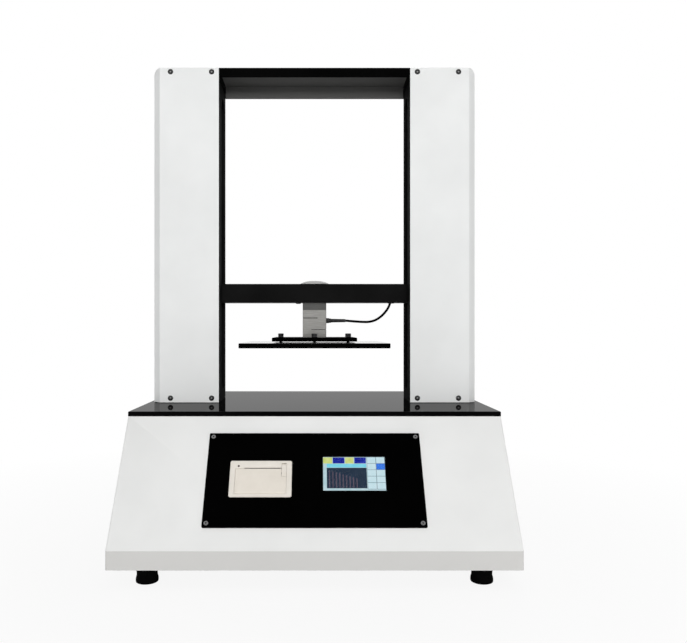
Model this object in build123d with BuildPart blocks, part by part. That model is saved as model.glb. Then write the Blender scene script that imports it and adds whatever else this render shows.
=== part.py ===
from build123d import *
import math
import os

# Two-column bench compression tester.
# Millimetres, Z up, front towards -Y, X to the right.
# The origin is on the table, under the middle of the base.

# Driving dimensions: base housing
base_width = 600.0
base_depth = 497.0
foot_height = 23.0
foot_top_radius = 17.0
foot_waist_radius = 15.2
foot_sole_radius = 16.0
foot_sole_height = 6.0
foot_inset_x = 54.0
foot_inset_y = 28.0
pan_thickness = 2.0
pan_inset = 6.0
skirt_height = 27.8
slope_height = 177.6
slope_run = 123.6
housing_sheet = 2.0
housing_bend = 2.5
top_flange = 20.0
bottom_flange = 18.0
rear_flange = 16.0
rear_inset = 3.0
deck_thickness = 7.8
deck_edge = 0.8

# Driving dimensions: columns and top beam
column_width = 118.7
column_margin = 9.0
column_depth = 95.4
column_height = 603.2
column_chamfer = 12.4
column_corner_radius = 10.0
cover_sheet = 1.5
cover_gap = 0.8
channel_sheet = 2.0
channel_front_flange = 98.0
channel_rear_flange = 22.0
slot_end_margin = 20.0
beam_thickness = 16.6
beam_wall = 3.0
beam_end_lap = 0.5
beam_lip_drop = 8.4
beam_lip_thickness = 4.0
beam_edge = 0.6
cover_screw_inset = 12.9
cover_screw_pitch = 74.0
cover_screw_drop = 7.3
cover_screw_rise = 8.5

# Driving dimensions: drive
load_axis_behind_front = 62.0
screw_inset = 31.7
rod_inset = 77.7
screw_diameter = 20.0
journal_diameter = 15.0
rod_diameter = 25.0
bearing_diameter = 32.0
bearing_width = 9.0
crossbeam_thickness = 25.0
crossbeam_depth = 90.0
upper_block_height = 28.0
upper_block_depth = 52.0
lower_housing_diameter = 60.0
lower_housing_height = 26.0
pulley_teeth = 40
motor_pulley_teeth = 20
tooth_pitch = 5.0
pulley_flange = 1.5
pulley_width = 14.0
belt_width = 10.0
belt_thickness = 2.0
sync_belt_height = 165.0
motor_belt_height = 149.0
motor_inset = 94.0
motor_from_rear = 80.5
motor_square = 80.0
motor_length = 92.0
motor_shaft_diameter = 14.0
bracket_plate = 8.0
bracket_width = 100.0

# Driving dimensions: crosshead and what hangs from it
crosshead_end_inset = 15.0
crosshead_depth = 48.0
crosshead_height = 34.2
slot_clearance = 1.0
platen_height_at_rest = 99.7
platen_side_gap = 42.8
platen_thickness = 8.7
platen_edge = 0.8
levelling_gap = 2.1
flange_width = 152.0
flange_thickness = 6.8
levelling_bolt_offset = 63.5
levelling_bolt_diameter = 6.0
levelling_head_across = 10.0
levelling_head_height = 4.0
levelling_nut_height = 3.4
cell_width = 44.0
cell_depth = 25.0
cell_height = 51.0
cell_slot = 1.2
cell_slot_inset = 14.7
cell_slot_overlap = 6.0
adapter_height = 14.1
cap_diameter = 53.0
cap_rim = 1.8
cap_height = 7.0
stud_diameter = 12.0
gland_height = 31.5
gland_diameter = 9.4
gland_length = 9.6
sleeve_diameter = 7.0
sleeve_length = 27.0
cable_diameter = 4.5

# Driving dimensions: control panel, touch screen and printer
panel_width = 330.0
panel_height = 151.6
panel_thickness = 3.0
panel_corner = 2.0
panel_from_slope_foot = 33.4
panel_screw_inset = 6.4
screen_width = 96.4
screen_height = 55.8
screen_glass = 1.9
screen_x = 60.6
screen_above_panel_foot = 84.6
module_margin = 4.0
module_depth = 15.0
printer_x = -81.6
printer_above_panel_foot = 74.8
bezel_width = 94.4
bezel_height = 58.1
bezel_thickness = 2.5
bezel_corner = 3.0
bay_width = 80.0
bay_height = 50.4
bay_depth = 44.0
bay_wall = 1.5
door_width = 77.8
door_lower_edge = -24.1
door_upper_edge = 16.0
door_thickness = 2.8
door_recess = 0.6
hinge_radius = 2.6
hinge_pin_diameter = 2.5
paper_slot_left = -26.0
paper_slot_right = 31.2
paper_slot_gap = 1.6
latch_width = 7.3
latch_length = 21.2
latch_lower_edge = 3.6
latch_recess = 0.8
latch_thickness = 3.0
roller_diameter = 7.0
roller_length = 54.0
roller_centre = 1.5
paper_diameter = 36.0
paper_core = 12.0
paper_width = 56.0
lamp_diameter = 3.0
lamp_x = -34.3
lamp_y = 20.2

# Driving dimensions: rear panel, inlet and electronics
inlet_from_side = 85.0
inlet_z = 110.0
inlet_bezel_width = 31.0
inlet_bezel_height = 51.0
inlet_bezel_thickness = 2.5
inlet_body_depth = 32.0
socket_width = 24.4
socket_height = 16.2
socket_depth = 22.0
rocker_width = 18.4
rocker_height = 13.0
rocker_tilt = 7.0
port_pitch = 65.0
louvre_length = 80.0
louvre_width = 5.0
louvre_pitch = 11.0
louvre_rows = 10
louvre_from_side = 110.0
louvre_bank_pitch = 150.0
vent_length = 80.0
vent_width = 4.0
vent_pitch = 9.0
vent_rows = 7

# Driving dimensions: boxes on the base pan
supply_width = 200.0
supply_depth = 98.0
supply_height = 45.0
supply_from_side = 50.0
supply_from_rear = 27.5
supply_groove_pitch = 14.0
drive_width = 110.0
drive_depth = 110.0
drive_height = 40.0
drive_x = 115.0
drive_y = -55.0
drive_fin_pitch = 10.0
drive_fin_height = 12.0

os.makedirs("parts", exist_ok=True)

# Named clearances
turning_gap = 0.3
sliding_gap = 0.3
seat_gap = 0.05
pin_gap = 0.1
part_gap = 0.3

# Heights of the base, from the table up
pan_bottom = foot_height
housing_bottom = pan_bottom + pan_thickness
skirt_top = housing_bottom + skirt_height
deck_bottom = skirt_top + slope_height
deck_top = deck_bottom + deck_thickness

# Planes and edges of the base, from front to rear
front_y = -base_depth / 2
rear_y = base_depth / 2
deck_front_y = front_y + slope_run
rear_panel_y = rear_y - rear_inset
housing_rear_y = rear_panel_y - housing_sheet

# Columns
column_outer = base_width / 2 - column_margin
column_inner = column_outer - column_width
screw_offset = column_inner + screw_inset
rod_offset = column_inner + rod_inset
motor_x = screw_offset - motor_inset
motor_y = rear_panel_y - motor_from_rear
column_top = deck_top + column_height
load_axis_y = 71.0
column_front_y = load_axis_y - load_axis_behind_front
column_rear_y = column_front_y + column_depth
beam_bottom = column_top - beam_thickness
cover_bottom = deck_top + cover_gap
channel_front_y = column_front_y + cover_sheet + 0.5 * part_gap
channel_rear_y = column_rear_y - cover_sheet - 0.5 * part_gap
channel_top = beam_bottom - part_gap
slot_width = crosshead_depth + 2 * slot_clearance
crossbeam_bottom = deck_bottom - crossbeam_thickness
crossbeam_half = base_width / 2 - top_flange - 2.0

# The stack that hangs from the crosshead, from the platen face up
platen_bottom = deck_top + platen_height_at_rest
platen_top = platen_bottom + platen_thickness
flange_bottom = platen_top + levelling_gap
flange_top = flange_bottom + flange_thickness
cell_bottom = flange_top
cell_top = cell_bottom + cell_height
platen_width = 2 * (column_inner - platen_side_gap)
crosshead_length = 2 * (column_outer - crosshead_end_inset)
crosshead_bottom = cell_top + adapter_height
crosshead_top = crosshead_bottom + crosshead_height

# The sloped front: x to the right, y up the slope, z out of it
slope_length = math.hypot(slope_run, slope_height)
slope_plane = Plane(
    origin=(0, front_y, skirt_top), x_dir=(1, 0, 0), z_dir=(0, -slope_height, slope_run)
)


def write(piece, node):
    """Label a finished piece and write it as a file of its own."""
    piece.label = node
    export_step(piece, f"parts/{node}.step")


def block(low, high, mode=Mode.ADD):
    """A box between two corners, for the open part."""
    size = [b - a for a, b in zip(low, high)]
    middle = [(a + b) / 2 for a, b in zip(low, high)]
    with Locations(tuple(middle)):
        Box(*size, mode=mode)


def post(x, y, bottom, top, radius, mode=Mode.ADD):
    """A vertical cylinder or hole, for the open part."""
    with Locations((x, y, (bottom + top) / 2)):
        Cylinder(radius, top - bottom, mode=mode)


def on_slope(x, up, out=0.0):
    """A plane parallel to the slope, centred at a place on it."""
    place = slope_plane.from_local_coords(Vector(x, up, out))
    return Plane(origin=place, x_dir=slope_plane.x_dir, z_dir=slope_plane.z_dir)


def across(plane, x=0.0):
    """The plane square to X, with its own x up the slope and its own y out of it."""
    place = plane.from_local_coords(Vector(x, 0, 0))
    return Plane(origin=place, x_dir=plane.y_dir, z_dir=(1, 0, 0))


# Base housing: one folded and welded sheet shell, open below, above and behind
side_outline = [
    (front_y, housing_bottom),
    (front_y, skirt_top),
    (deck_front_y, deck_bottom),
    (housing_rear_y, deck_bottom),
    (housing_rear_y, housing_bottom),
]
panel_middle = panel_from_slope_foot + panel_height / 2
screen_up = panel_from_slope_foot + screen_above_panel_foot
printer_up = panel_from_slope_foot + printer_above_panel_foot
foot_places = GridLocations(
    base_width - 2 * foot_inset_x, base_depth - 2 * foot_inset_y, 2, 2
).locations

with BuildPart() as base_housing:
    with BuildSketch(Plane.YZ):
        with BuildLine():
            Polyline(*side_outline, close=True)
        make_face()
    extrude(amount=base_width / 2, both=True)
    front_edges = base_housing.edges().filter_by(
        lambda e: e.center().Y < deck_front_y - 1 and e.center().Z > housing_bottom + 1
    )
    fillet(front_edges, housing_bend)
    with BuildSketch(Plane.YZ):
        with BuildLine():
            Polyline(*side_outline, close=True)
        make_face()
        offset(amount=-housing_sheet, kind=Kind.INTERSECTION)
    extrude(amount=base_width / 2 - housing_sheet, both=True, mode=Mode.SUBTRACT)
    block(
        (-base_width / 2 + top_flange, deck_front_y + top_flange, deck_bottom - 5),
        (base_width / 2 - top_flange, housing_rear_y - top_flange, deck_bottom + 5),
        Mode.SUBTRACT,
    )
    block(
        (-base_width / 2 + bottom_flange, front_y + bottom_flange, housing_bottom - 5),
        (base_width / 2 - bottom_flange, housing_rear_y - bottom_flange, housing_bottom + 5),
        Mode.SUBTRACT,
    )
    block(
        (-base_width / 2 + rear_flange, housing_rear_y - 5, housing_bottom + rear_flange),
        (base_width / 2 - rear_flange, housing_rear_y + 5, deck_bottom - rear_flange),
        Mode.SUBTRACT,
    )
    opening_left = printer_x - bay_width / 2 - bay_wall - module_margin
    opening_right = screen_x + screen_width / 2 + 2 * module_margin
    opening_middle = (screen_up + printer_up) / 2
    opening_height = screen_height + 6 * module_margin
    with BuildSketch(on_slope((opening_left + opening_right) / 2, opening_middle)):
        RectangleRounded(opening_right - opening_left, opening_height, module_margin)
    extrude(amount=-housing_sheet * 2, mode=Mode.SUBTRACT)
write(base_housing.part, "base_housing")

# Base pan: flat sheet under the housing that carries the feet and the inner frame
with BuildPart() as base_pan:
    block(
        (-base_width / 2 + pan_inset, front_y + pan_inset, pan_bottom),
        (base_width / 2 - pan_inset, housing_rear_y - pan_inset / 2, housing_bottom),
    )
    fillet(base_pan.edges().filter_by(Axis.Z), pan_inset)
    with BuildSketch(Plane.XY.offset(pan_bottom)):
        with Locations((0, 185)):
            with GridLocations(0, vent_pitch, 1, vent_rows):
                Rectangle(vent_length, vent_width)
    extrude(amount=pan_thickness, mode=Mode.SUBTRACT)
write(base_pan.part, "base_pan")

with BuildPart() as one_foot:
    with BuildSketch(Plane.XZ):
        with BuildLine():
            Polyline(
                (0, 0),
                (foot_sole_radius - 1.5, 0),
                (foot_sole_radius, 1.5),
                (foot_sole_radius, foot_sole_height),
                (foot_waist_radius, foot_sole_height + 4),
                (foot_top_radius, foot_height),
                (0, foot_height),
                close=True,
            )
        make_face()
    revolve(axis=Axis.Z)
with BuildPart() as rubber_feet:
    with Locations(*foot_places):
        add(one_foot.part)
write(rubber_feet.part, "rubber_feet")

# Deck plate: the lower platen, with holes for the rods and lead screws inside the columns
with BuildPart() as deck_plate:
    block((-base_width / 2, deck_front_y, deck_bottom), (base_width / 2, rear_y, deck_top))
    chamfer(deck_plate.faces().sort_by(Axis.Z)[-1].edges(), deck_edge)
    for side in (-1, 1):
        hole = rod_diameter / 2 + seat_gap
        post(side * rod_offset, load_axis_y, deck_bottom, deck_top, hole, Mode.SUBTRACT)
        hole = screw_diameter / 2 + 2.0
        post(side * screw_offset, load_axis_y, deck_bottom, deck_top, hole, Mode.SUBTRACT)
write(deck_plate.part, "deck_plate")

# Inner frame: a crossbeam under the deck on two side plates that stand on the pan
rod_seat_depth = 20.0
with BuildPart() as lower_crossbeam:
    block(
        (-crossbeam_half, load_axis_y - crossbeam_depth / 2, crossbeam_bottom),
        (crossbeam_half, load_axis_y + crossbeam_depth / 2, deck_bottom),
    )
    chamfer(lower_crossbeam.faces().sort_by(Axis.Z)[0].edges(), 2.0)
    for side in (-1, 1):
        seat = rod_diameter / 2 + seat_gap
        seat_floor = deck_bottom - rod_seat_depth
        post(side * rod_offset, load_axis_y, seat_floor, deck_bottom, seat, Mode.SUBTRACT)
        hole = screw_diameter / 2 + 2.0
        post(side * screw_offset, load_axis_y, crossbeam_bottom, deck_bottom, hole, Mode.SUBTRACT)
write(lower_crossbeam.part, "lower_crossbeam")

side_plate_thickness = 12.0
with BuildPart() as frame_side_plates:
    for side in (-1, 1):
        outer = side * (crossbeam_half - 4.0)
        inner = outer - side * side_plate_thickness
        with BuildSketch(Plane.YZ.offset(min(inner, outer))):
            with Locations((load_axis_y, (housing_bottom + crossbeam_bottom) / 2)):
                Rectangle(crossbeam_depth - 10, crossbeam_bottom - housing_bottom)
                Rectangle(
                    crossbeam_depth - 50, crossbeam_bottom - housing_bottom - 80, mode=Mode.SUBTRACT
                )
        extrude(amount=side_plate_thickness)
write(frame_side_plates.part, "frame_side_plates")

# Column covers: folded sheet, chamfered at the outer front edge, open inwards and below
screw_near = column_inner + cover_screw_inset
screw_far = screw_near + cover_screw_pitch
screw_high = column_top - cover_screw_drop
screw_low = deck_top + cover_screw_rise
cover_screw_radius = 2.5
cover_screw_places = [(x, z) for x in (screw_near, screw_far) for z in (screw_low, screw_high)]


def drill_front(places, depth, radius):
    """Holes square to the column fronts, cut from the front plane of the columns."""
    with Locations(Plane.XZ.offset(-column_front_y)):
        with Locations(*places):
            Cylinder(radius, 2 * depth, mode=Mode.SUBTRACT)


for side, name in ((-1, "left"), (1, "right")):
    with BuildPart() as column_cover:
        with BuildSketch(Plane.XY.offset(cover_bottom)):
            with BuildLine():
                Polyline(
                    (side * column_inner, column_front_y),
                    (side * (column_outer - column_chamfer), column_front_y),
                    (side * column_outer, column_front_y + column_chamfer),
                    (side * column_outer, column_rear_y),
                    (side * column_inner, column_rear_y),
                    close=True,
                )
            make_face()
        extrude(amount=column_top - cover_bottom)
        outer_face = column_cover.faces().filter_by(Axis.X).sort_by(Axis.X)[-1 if side > 0 else 0]
        fillet(outer_face.edges().sort_by(Axis.Z)[-1], column_corner_radius)
        inner_face = column_cover.faces().filter_by(Axis.X).sort_by(Axis.X)[0 if side > 0 else -1]
        bottom_face = column_cover.faces().sort_by(Axis.Z)[0]
        offset(amount=-cover_sheet, openings=[inner_face, bottom_face])
        places = [(side * x, z) for x, z in cover_screw_places]
        drill_front(places, cover_sheet + 1, cover_screw_radius + pin_gap)
    write(column_cover.part, f"column_cover_{name}")

    # Inner channel: black folded sheet with the slot for the crosshead
    with BuildPart() as column_channel:
        web = (side * column_inner, side * (column_inner + channel_sheet))
        block((min(web), channel_front_y, deck_top), (max(web), channel_rear_y, channel_top))
        lip = (side * column_inner, side * (column_inner + channel_front_flange))
        block(
            (min(lip), channel_front_y, deck_top),
            (max(lip), channel_front_y + channel_sheet, channel_top),
        )
        lip = (side * column_inner, side * (column_inner + channel_rear_flange))
        block(
            (min(lip), channel_rear_y - channel_sheet, deck_top),
            (max(lip), channel_rear_y, channel_top),
        )
        with BuildSketch(Plane.YZ.offset(min(web))):
            with Locations((load_axis_y, (deck_top + channel_top) / 2)):
                slot_length = channel_top - deck_top - 2 * slot_end_margin
                SlotOverall(slot_length, slot_width, rotation=90)
        extrude(amount=channel_sheet, mode=Mode.SUBTRACT)
        places = [(side * x, screw_low) for x in (screw_near, screw_far)]
        drill_front(places, 6, cover_screw_radius + pin_gap)
    write(column_channel.part, f"column_channel_{name}")

cover_head_radius = 4.9
cover_head_height = 2.8
cover_screw_length = 9.0
with BuildPart() as one_cover_screw:
    with BuildSketch():
        Circle(cover_head_radius)
    extrude(amount=cover_head_height)
    with BuildSketch(Plane.XY):
        Circle(cover_screw_radius)
    extrude(amount=-cover_screw_length)
with BuildPart() as cover_screws:
    with Locations(Plane.XZ.offset(-column_front_y)):
        with Locations(*[(s * x, z) for s in (-1, 1) for x, z in cover_screw_places]):
            add(one_cover_screw.part)
write(cover_screws.part, "column_cover_screws")

# Top beam: channel open below with a deeper rear wall, and solid ends inside the columns
beam_half = column_inner - 0.5 * part_gap
beam_end_half = column_outer - cover_sheet - 4.5
beam_end_top = column_top - cover_sheet - 2.0
with BuildPart() as top_beam:
    block((-beam_half, column_front_y, beam_bottom), (beam_half, column_rear_y, column_top))
    chamfer(top_beam.faces().sort_by(Axis.Y)[0].edges().filter_by(Axis.X), beam_edge)
    block(
        (-beam_half, column_rear_y - beam_lip_thickness, beam_bottom - beam_lip_drop),
        (beam_half, column_rear_y, beam_bottom),
    )
    block(
        (-beam_half + beam_end_lap, column_front_y + beam_wall, beam_bottom),
        (beam_half - beam_end_lap, column_rear_y - beam_lip_thickness, column_top - beam_wall),
        Mode.SUBTRACT,
    )
    for side in (-1, 1):
        ends = sorted((side * (beam_half - beam_end_lap), side * beam_end_half))
        block(
            (ends[0], channel_front_y, beam_bottom),
            (ends[1], channel_rear_y, beam_end_top),
        )
    end_corners = top_beam.edges().filter_by(Axis.Z).filter_by(
        lambda e: abs(e.center().X) > beam_end_half - 1 and e.center().Y < channel_front_y + 1
    )
    chamfer(end_corners, column_chamfer * 0.62)
    for side in (-1, 1):
        drill_front(
            [(side * screw_near, screw_high), (side * screw_far, screw_high)],
            cover_screw_length + 1,
            cover_screw_radius + pin_gap,
        )
write(top_beam.part, "top_beam")

# Upper blocks under the beam ends: they clamp the rods and hold the upper bearings
bearing_recess = bearing_width + 3.0
block_bottom = beam_bottom - upper_block_height
with BuildPart() as upper_blocks:
    for side in (-1, 1):
        near = side * (column_inner + channel_sheet + 3.0)
        far = side * (column_outer - cover_sheet - 5.0)
        block(
            (min(near, far), load_axis_y - upper_block_depth / 2, block_bottom),
            (max(near, far), load_axis_y + upper_block_depth / 2, beam_bottom),
        )
        x, y = side * screw_offset, load_axis_y
        bore = bearing_diameter / 2 + seat_gap
        post(x, y, block_bottom, block_bottom + bearing_recess, bore, Mode.SUBTRACT)
        post(x, y, block_bottom, beam_bottom - 5, journal_diameter / 2 + 3, Mode.SUBTRACT)
        bore = rod_diameter / 2 + seat_gap
        post(side * rod_offset, y, block_bottom, beam_bottom, bore, Mode.SUBTRACT)
write(upper_blocks.part, "upper_bearing_blocks")

# Guide rods stand in the crossbeam and end under the beam
with BuildPart() as guide_rods:
    for side in (-1, 1):
        x, y = side * rod_offset, load_axis_y
        post(x, y, deck_bottom - rod_seat_depth, beam_bottom, rod_diameter / 2)
write(guide_rods.part, "guide_rods")

# Lower bearing housings hang under the crossbeam
lower_housing_bottom = crossbeam_bottom - lower_housing_height
lower_bearing_bottom = lower_housing_bottom + 4.0
with BuildPart() as lower_housings:
    for side in (-1, 1):
        x, y = side * screw_offset, load_axis_y
        post(x, y, crossbeam_bottom - 8, crossbeam_bottom, lower_housing_diameter / 2)
        post(x, y, lower_housing_bottom, crossbeam_bottom, lower_housing_diameter / 2 - 8)
        bore = bearing_diameter / 2 + seat_gap
        post(x, y, lower_bearing_bottom, crossbeam_bottom, bore, Mode.SUBTRACT)
        bore = journal_diameter / 2 + 3
        post(x, y, lower_housing_bottom, crossbeam_bottom, bore, Mode.SUBTRACT)
write(lower_housings.part, "lower_bearing_housings")

with BuildPart() as screw_bearings:
    for side in (-1, 1):
        x, y = side * screw_offset, load_axis_y
        for bottom in (lower_bearing_bottom, block_bottom + bearing_recess - bearing_width):
            post(x, y, bottom, bottom + bearing_width, bearing_diameter / 2)
            bore = journal_diameter / 2 + seat_gap
            post(x, y, bottom, bottom + bearing_width, bore, Mode.SUBTRACT)
write(screw_bearings.part, "screw_bearings")


def pitch_radius(teeth):
    """Pitch radius of a belt pulley from its tooth count."""
    return teeth * tooth_pitch / (2 * math.pi)


def belt_pulley(x, y, rows, teeth, bore_radius):
    """A flanged pulley on a vertical shaft, turned to its pitch circle at each belt height."""
    pitch = pitch_radius(teeth)
    bottom = min(rows) - pulley_width / 2
    top = max(rows) + pulley_width / 2
    with BuildPart() as pulley:
        post(x, y, bottom, top, pitch)
        for middle in rows:
            for edge in (middle - pulley_width / 2, middle + pulley_width / 2 - pulley_flange):
                post(x, y, edge, edge + pulley_flange, pitch + belt_thickness)
        post(x, y, bottom, top, bore_radius, Mode.SUBTRACT)
    return pulley.part


# Lead screws with their pulleys; the right one also takes the motor belt
pulley_bore = journal_diameter / 2 + seat_gap
journal_top = block_bottom + bearing_recess
screw_shoulder_bottom = lower_bearing_bottom + bearing_width + 2.0
for side, name in ((-1, "left"), (1, "right")):
    x, y = side * screw_offset, load_axis_y
    with BuildPart() as lead_screw:
        post(x, y, motor_belt_height - pulley_width / 2 - 2, journal_top, journal_diameter / 2)
        post(x, y, screw_shoulder_bottom, block_bottom - 2.0, screw_diameter / 2)
    write(lead_screw.part, f"lead_screw_{name}")
    rows = [sync_belt_height] if side < 0 else [motor_belt_height, sync_belt_height]
    pulley = belt_pulley(x, y, rows, pulley_teeth, pulley_bore)
    write(pulley, f"screw_pulley_{name}")


def belt(centres, radii, height):
    """A closed belt round two pulleys, clear of both."""
    grow = sliding_gap + belt_thickness
    with BuildPart() as loop:
        with BuildSketch(Plane.XY.offset(height - belt_width / 2)):
            for centre, radius in zip(centres, radii):
                with Locations(centre):
                    Circle(radius + grow)
            make_hull()
        extrude(amount=belt_width)
        with BuildSketch(Plane.XY.offset(height - belt_width / 2)):
            for centre, radius in zip(centres, radii):
                with Locations(centre):
                    Circle(radius + sliding_gap)
            make_hull()
        extrude(amount=belt_width, mode=Mode.SUBTRACT)
    return loop.part


left_screw = (-screw_offset, load_axis_y)
right_screw = (screw_offset, load_axis_y)
big = pitch_radius(pulley_teeth)
small = pitch_radius(motor_pulley_teeth)
write(belt([left_screw, right_screw], [big, big], sync_belt_height), "screw_belt")
write(belt([right_screw, (motor_x, motor_y)], [big, small], motor_belt_height), "motor_belt")

# Motor: flanged body with a finned can, hung under its bracket
motor_top = motor_belt_height - pulley_width / 2 - 4.0 - bracket_plate
with BuildPart() as drive_motor:
    half = motor_square / 2
    block(
        (motor_x - half, motor_y - half, motor_top - 10),
        (motor_x + half, motor_y + half, motor_top),
    )
    block(
        (motor_x - half + 3, motor_y - half + 3, motor_top - motor_length),
        (motor_x + half - 3, motor_y + half - 3, motor_top - 10),
    )
    chamfer(drive_motor.edges().filter_by(Axis.Z), 5.0)
    for ring in range(6):
        with BuildSketch(Plane.XY.offset(motor_top - 24 - ring * 9)):
            with Locations((motor_x, motor_y)):
                Rectangle(motor_square, motor_square)
                Rectangle(motor_square - 10, motor_square - 10, mode=Mode.SUBTRACT)
        extrude(amount=-4, mode=Mode.SUBTRACT)
    block(
        (motor_x - 15, motor_y + motor_square / 2 - 6, motor_top - motor_length + 4),
        (motor_x + 15, motor_y + motor_square / 2 + 8, motor_top - motor_length + 22),
    )
    bore = motor_shaft_diameter / 2 + pin_gap
    post(motor_x, motor_y, motor_top - 40, motor_top, bore, Mode.SUBTRACT)
write(drive_motor.part, "drive_motor")

with BuildPart() as motor_bracket:
    half = bracket_width / 2
    block(
        (motor_x - half, motor_y - half, motor_top),
        (motor_x + half, motor_y + half, motor_top + bracket_plate),
    )
    for side in (-1, 1):
        edges = sorted((motor_x + side * half, motor_x + side * (half - 6)))
        block((edges[0], motor_y - half, housing_bottom), (edges[1], motor_y + half, motor_top))
        edges = sorted((motor_x + side * half, motor_x + side * (half + 12)))
        block(
            (edges[0], motor_y - half, housing_bottom), (edges[1], motor_y + half, housing_bottom + 4)
        )
    post(motor_x, motor_y, motor_top, motor_top + bracket_plate, 20, Mode.SUBTRACT)
write(motor_bracket.part, "motor_bracket")

with BuildPart() as motor_shaft:
    post(
        motor_x,
        motor_y,
        motor_top - 39,
        motor_belt_height + pulley_width / 2 + 2,
        motor_shaft_diameter / 2,
    )
write(motor_shaft.part, "motor_shaft")
motor_pulley = belt_pulley(
    motor_x, motor_y, [motor_belt_height], motor_pulley_teeth, motor_shaft_diameter / 2 + seat_gap
)
write(motor_pulley, "motor_pulley")

# Crosshead: black bar that runs through both channel slots
cable_hole_inset = 27.9
cable_hole_x = column_inner - cable_hole_inset
cable_hole_radius = 4.6
cable_hole_depth = 20.0
nut_barrel_radius = 16.0
bush_barrel_radius = 20.0
bolt_head_radius = 10.5
bolt_head_height = 10.0
with BuildPart() as crosshead:
    block(
        (-crosshead_length / 2, load_axis_y - crosshead_depth / 2, crosshead_bottom),
        (crosshead_length / 2, load_axis_y + crosshead_depth / 2, crosshead_top),
    )
    chamfer(crosshead.edges().filter_by(Axis.X), 0.8)
    for side in (-1, 1):
        x, y = side * screw_offset, load_axis_y
        bore = nut_barrel_radius + seat_gap
        post(x, y, crosshead_bottom, crosshead_top, bore, Mode.SUBTRACT)
        bore = bush_barrel_radius + seat_gap
        post(side * rod_offset, y, crosshead_bottom, crosshead_top, bore, Mode.SUBTRACT)
    post(0, load_axis_y, crosshead_bottom, crosshead_top, stud_diameter / 2 + pin_gap, Mode.SUBTRACT)
    recess = crosshead_top - bolt_head_height - 1
    post(0, load_axis_y, recess, crosshead_top, bolt_head_radius + 2, Mode.SUBTRACT)
    hole_top = crosshead_bottom + cable_hole_depth
    post(cable_hole_x, load_axis_y, crosshead_bottom, hole_top, cable_hole_radius, Mode.SUBTRACT)
    stop_x = -30.6
    post(stop_x, load_axis_y, crosshead_bottom, crosshead_bottom + 12, 3.0, Mode.SUBTRACT)
write(crosshead.part, "crosshead")

with BuildPart() as stop_screw:
    post(stop_x, load_axis_y, crosshead_bottom - 2.0, crosshead_bottom, 4.8)
    chamfer(stop_screw.faces().sort_by(Axis.Z)[0].edges(), 0.8)
    post(stop_x, load_axis_y, crosshead_bottom, crosshead_bottom + 10, 3.0 - pin_gap)
write(stop_screw.part, "crosshead_screw")

# Low cap over the bolt that carries the load cell
cap_radius = cap_diameter / 2
with BuildPart() as crosshead_cap:
    with BuildSketch(Plane.XZ.offset(-load_axis_y)):
        with BuildLine():
            Polyline(
                (0, crosshead_top + cap_height),
                (0, crosshead_top),
                (cap_radius, crosshead_top),
                (cap_radius, crosshead_top + cap_rim),
                (0.72 * cap_radius, crosshead_top + 0.68 * cap_height),
                (0.34 * cap_radius, crosshead_top + 0.95 * cap_height),
                close=True,
            )
        make_face()
    revolve(axis=Axis((0, load_axis_y, 0), (0, 0, 1)))
write(crosshead_cap.part, "crosshead_cap")

with BuildPart() as screw_nuts:
    for side in (-1, 1):
        x, y = side * screw_offset, load_axis_y
        post(x, y, crosshead_bottom, crosshead_top, nut_barrel_radius)
        post(x, y, crosshead_bottom - 10, crosshead_bottom, nut_barrel_radius + 4)
        bore = screw_diameter / 2 + turning_gap
        post(x, y, crosshead_bottom - 10, crosshead_top, bore, Mode.SUBTRACT)
write(screw_nuts.part, "screw_nuts")

with BuildPart() as guide_bushes:
    for side in (-1, 1):
        x, y = side * rod_offset, load_axis_y
        post(x, y, crosshead_bottom, crosshead_top, bush_barrel_radius)
        post(x, y, crosshead_bottom - 8, crosshead_bottom, bush_barrel_radius + 3)
        bore = rod_diameter / 2 + sliding_gap
        post(x, y, crosshead_bottom - 8, crosshead_top, bore, Mode.SUBTRACT)
write(guide_bushes.part, "guide_bushes")

# Load cell adapter and S-type load cell with its two opposed slots
half_cell = cell_width / 2
cell_front = load_axis_y - cell_depth / 2
cell_rear = load_axis_y + cell_depth / 2
stud_bore = stud_diameter / 2 + pin_gap
with BuildPart() as cell_adapter:
    block((-half_cell, cell_front, cell_top), (half_cell, cell_rear, crosshead_bottom))
    chamfer(cell_adapter.edges().filter_by(Axis.Z), 0.6)
    post(0, load_axis_y, cell_top, crosshead_bottom, stud_bore, Mode.SUBTRACT)
write(cell_adapter.part, "load_cell_adapter")

stud_engagement = 12.0
with BuildPart() as load_cell:
    block((-half_cell, cell_front, cell_bottom), (half_cell, cell_rear, cell_top))
    chamfer(load_cell.edges().filter_by(Axis.Z), 0.6)
    low_slot = cell_bottom + cell_slot_inset
    block(
        (-cell_slot_overlap, cell_front, low_slot - cell_slot / 2),
        (half_cell, cell_rear, low_slot + cell_slot / 2),
        Mode.SUBTRACT,
    )
    high_slot = cell_top - cell_slot_inset
    block(
        (-half_cell, cell_front, high_slot - cell_slot / 2),
        (cell_slot_overlap, cell_rear, high_slot + cell_slot / 2),
        Mode.SUBTRACT,
    )
    post(0, load_axis_y, cell_bottom, cell_bottom + stud_engagement, stud_bore, Mode.SUBTRACT)
    post(0, load_axis_y, cell_top - stud_engagement, cell_top, stud_bore, Mode.SUBTRACT)
write(load_cell.part, "load_cell")

with BuildPart() as cell_bolts:
    seat = crosshead_top - bolt_head_height - 1
    post(0, load_axis_y, seat, seat + bolt_head_height, bolt_head_radius)
    post(0, load_axis_y, cell_top - stud_engagement + 1, seat, stud_diameter / 2)
    post(0, load_axis_y, flange_bottom, flange_bottom + 3.5, bolt_head_radius)
    post(0, load_axis_y, flange_bottom + 3.5, cell_bottom + stud_engagement - 1, stud_diameter / 2)
write(cell_bolts.part, "load_cell_bolts")

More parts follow.
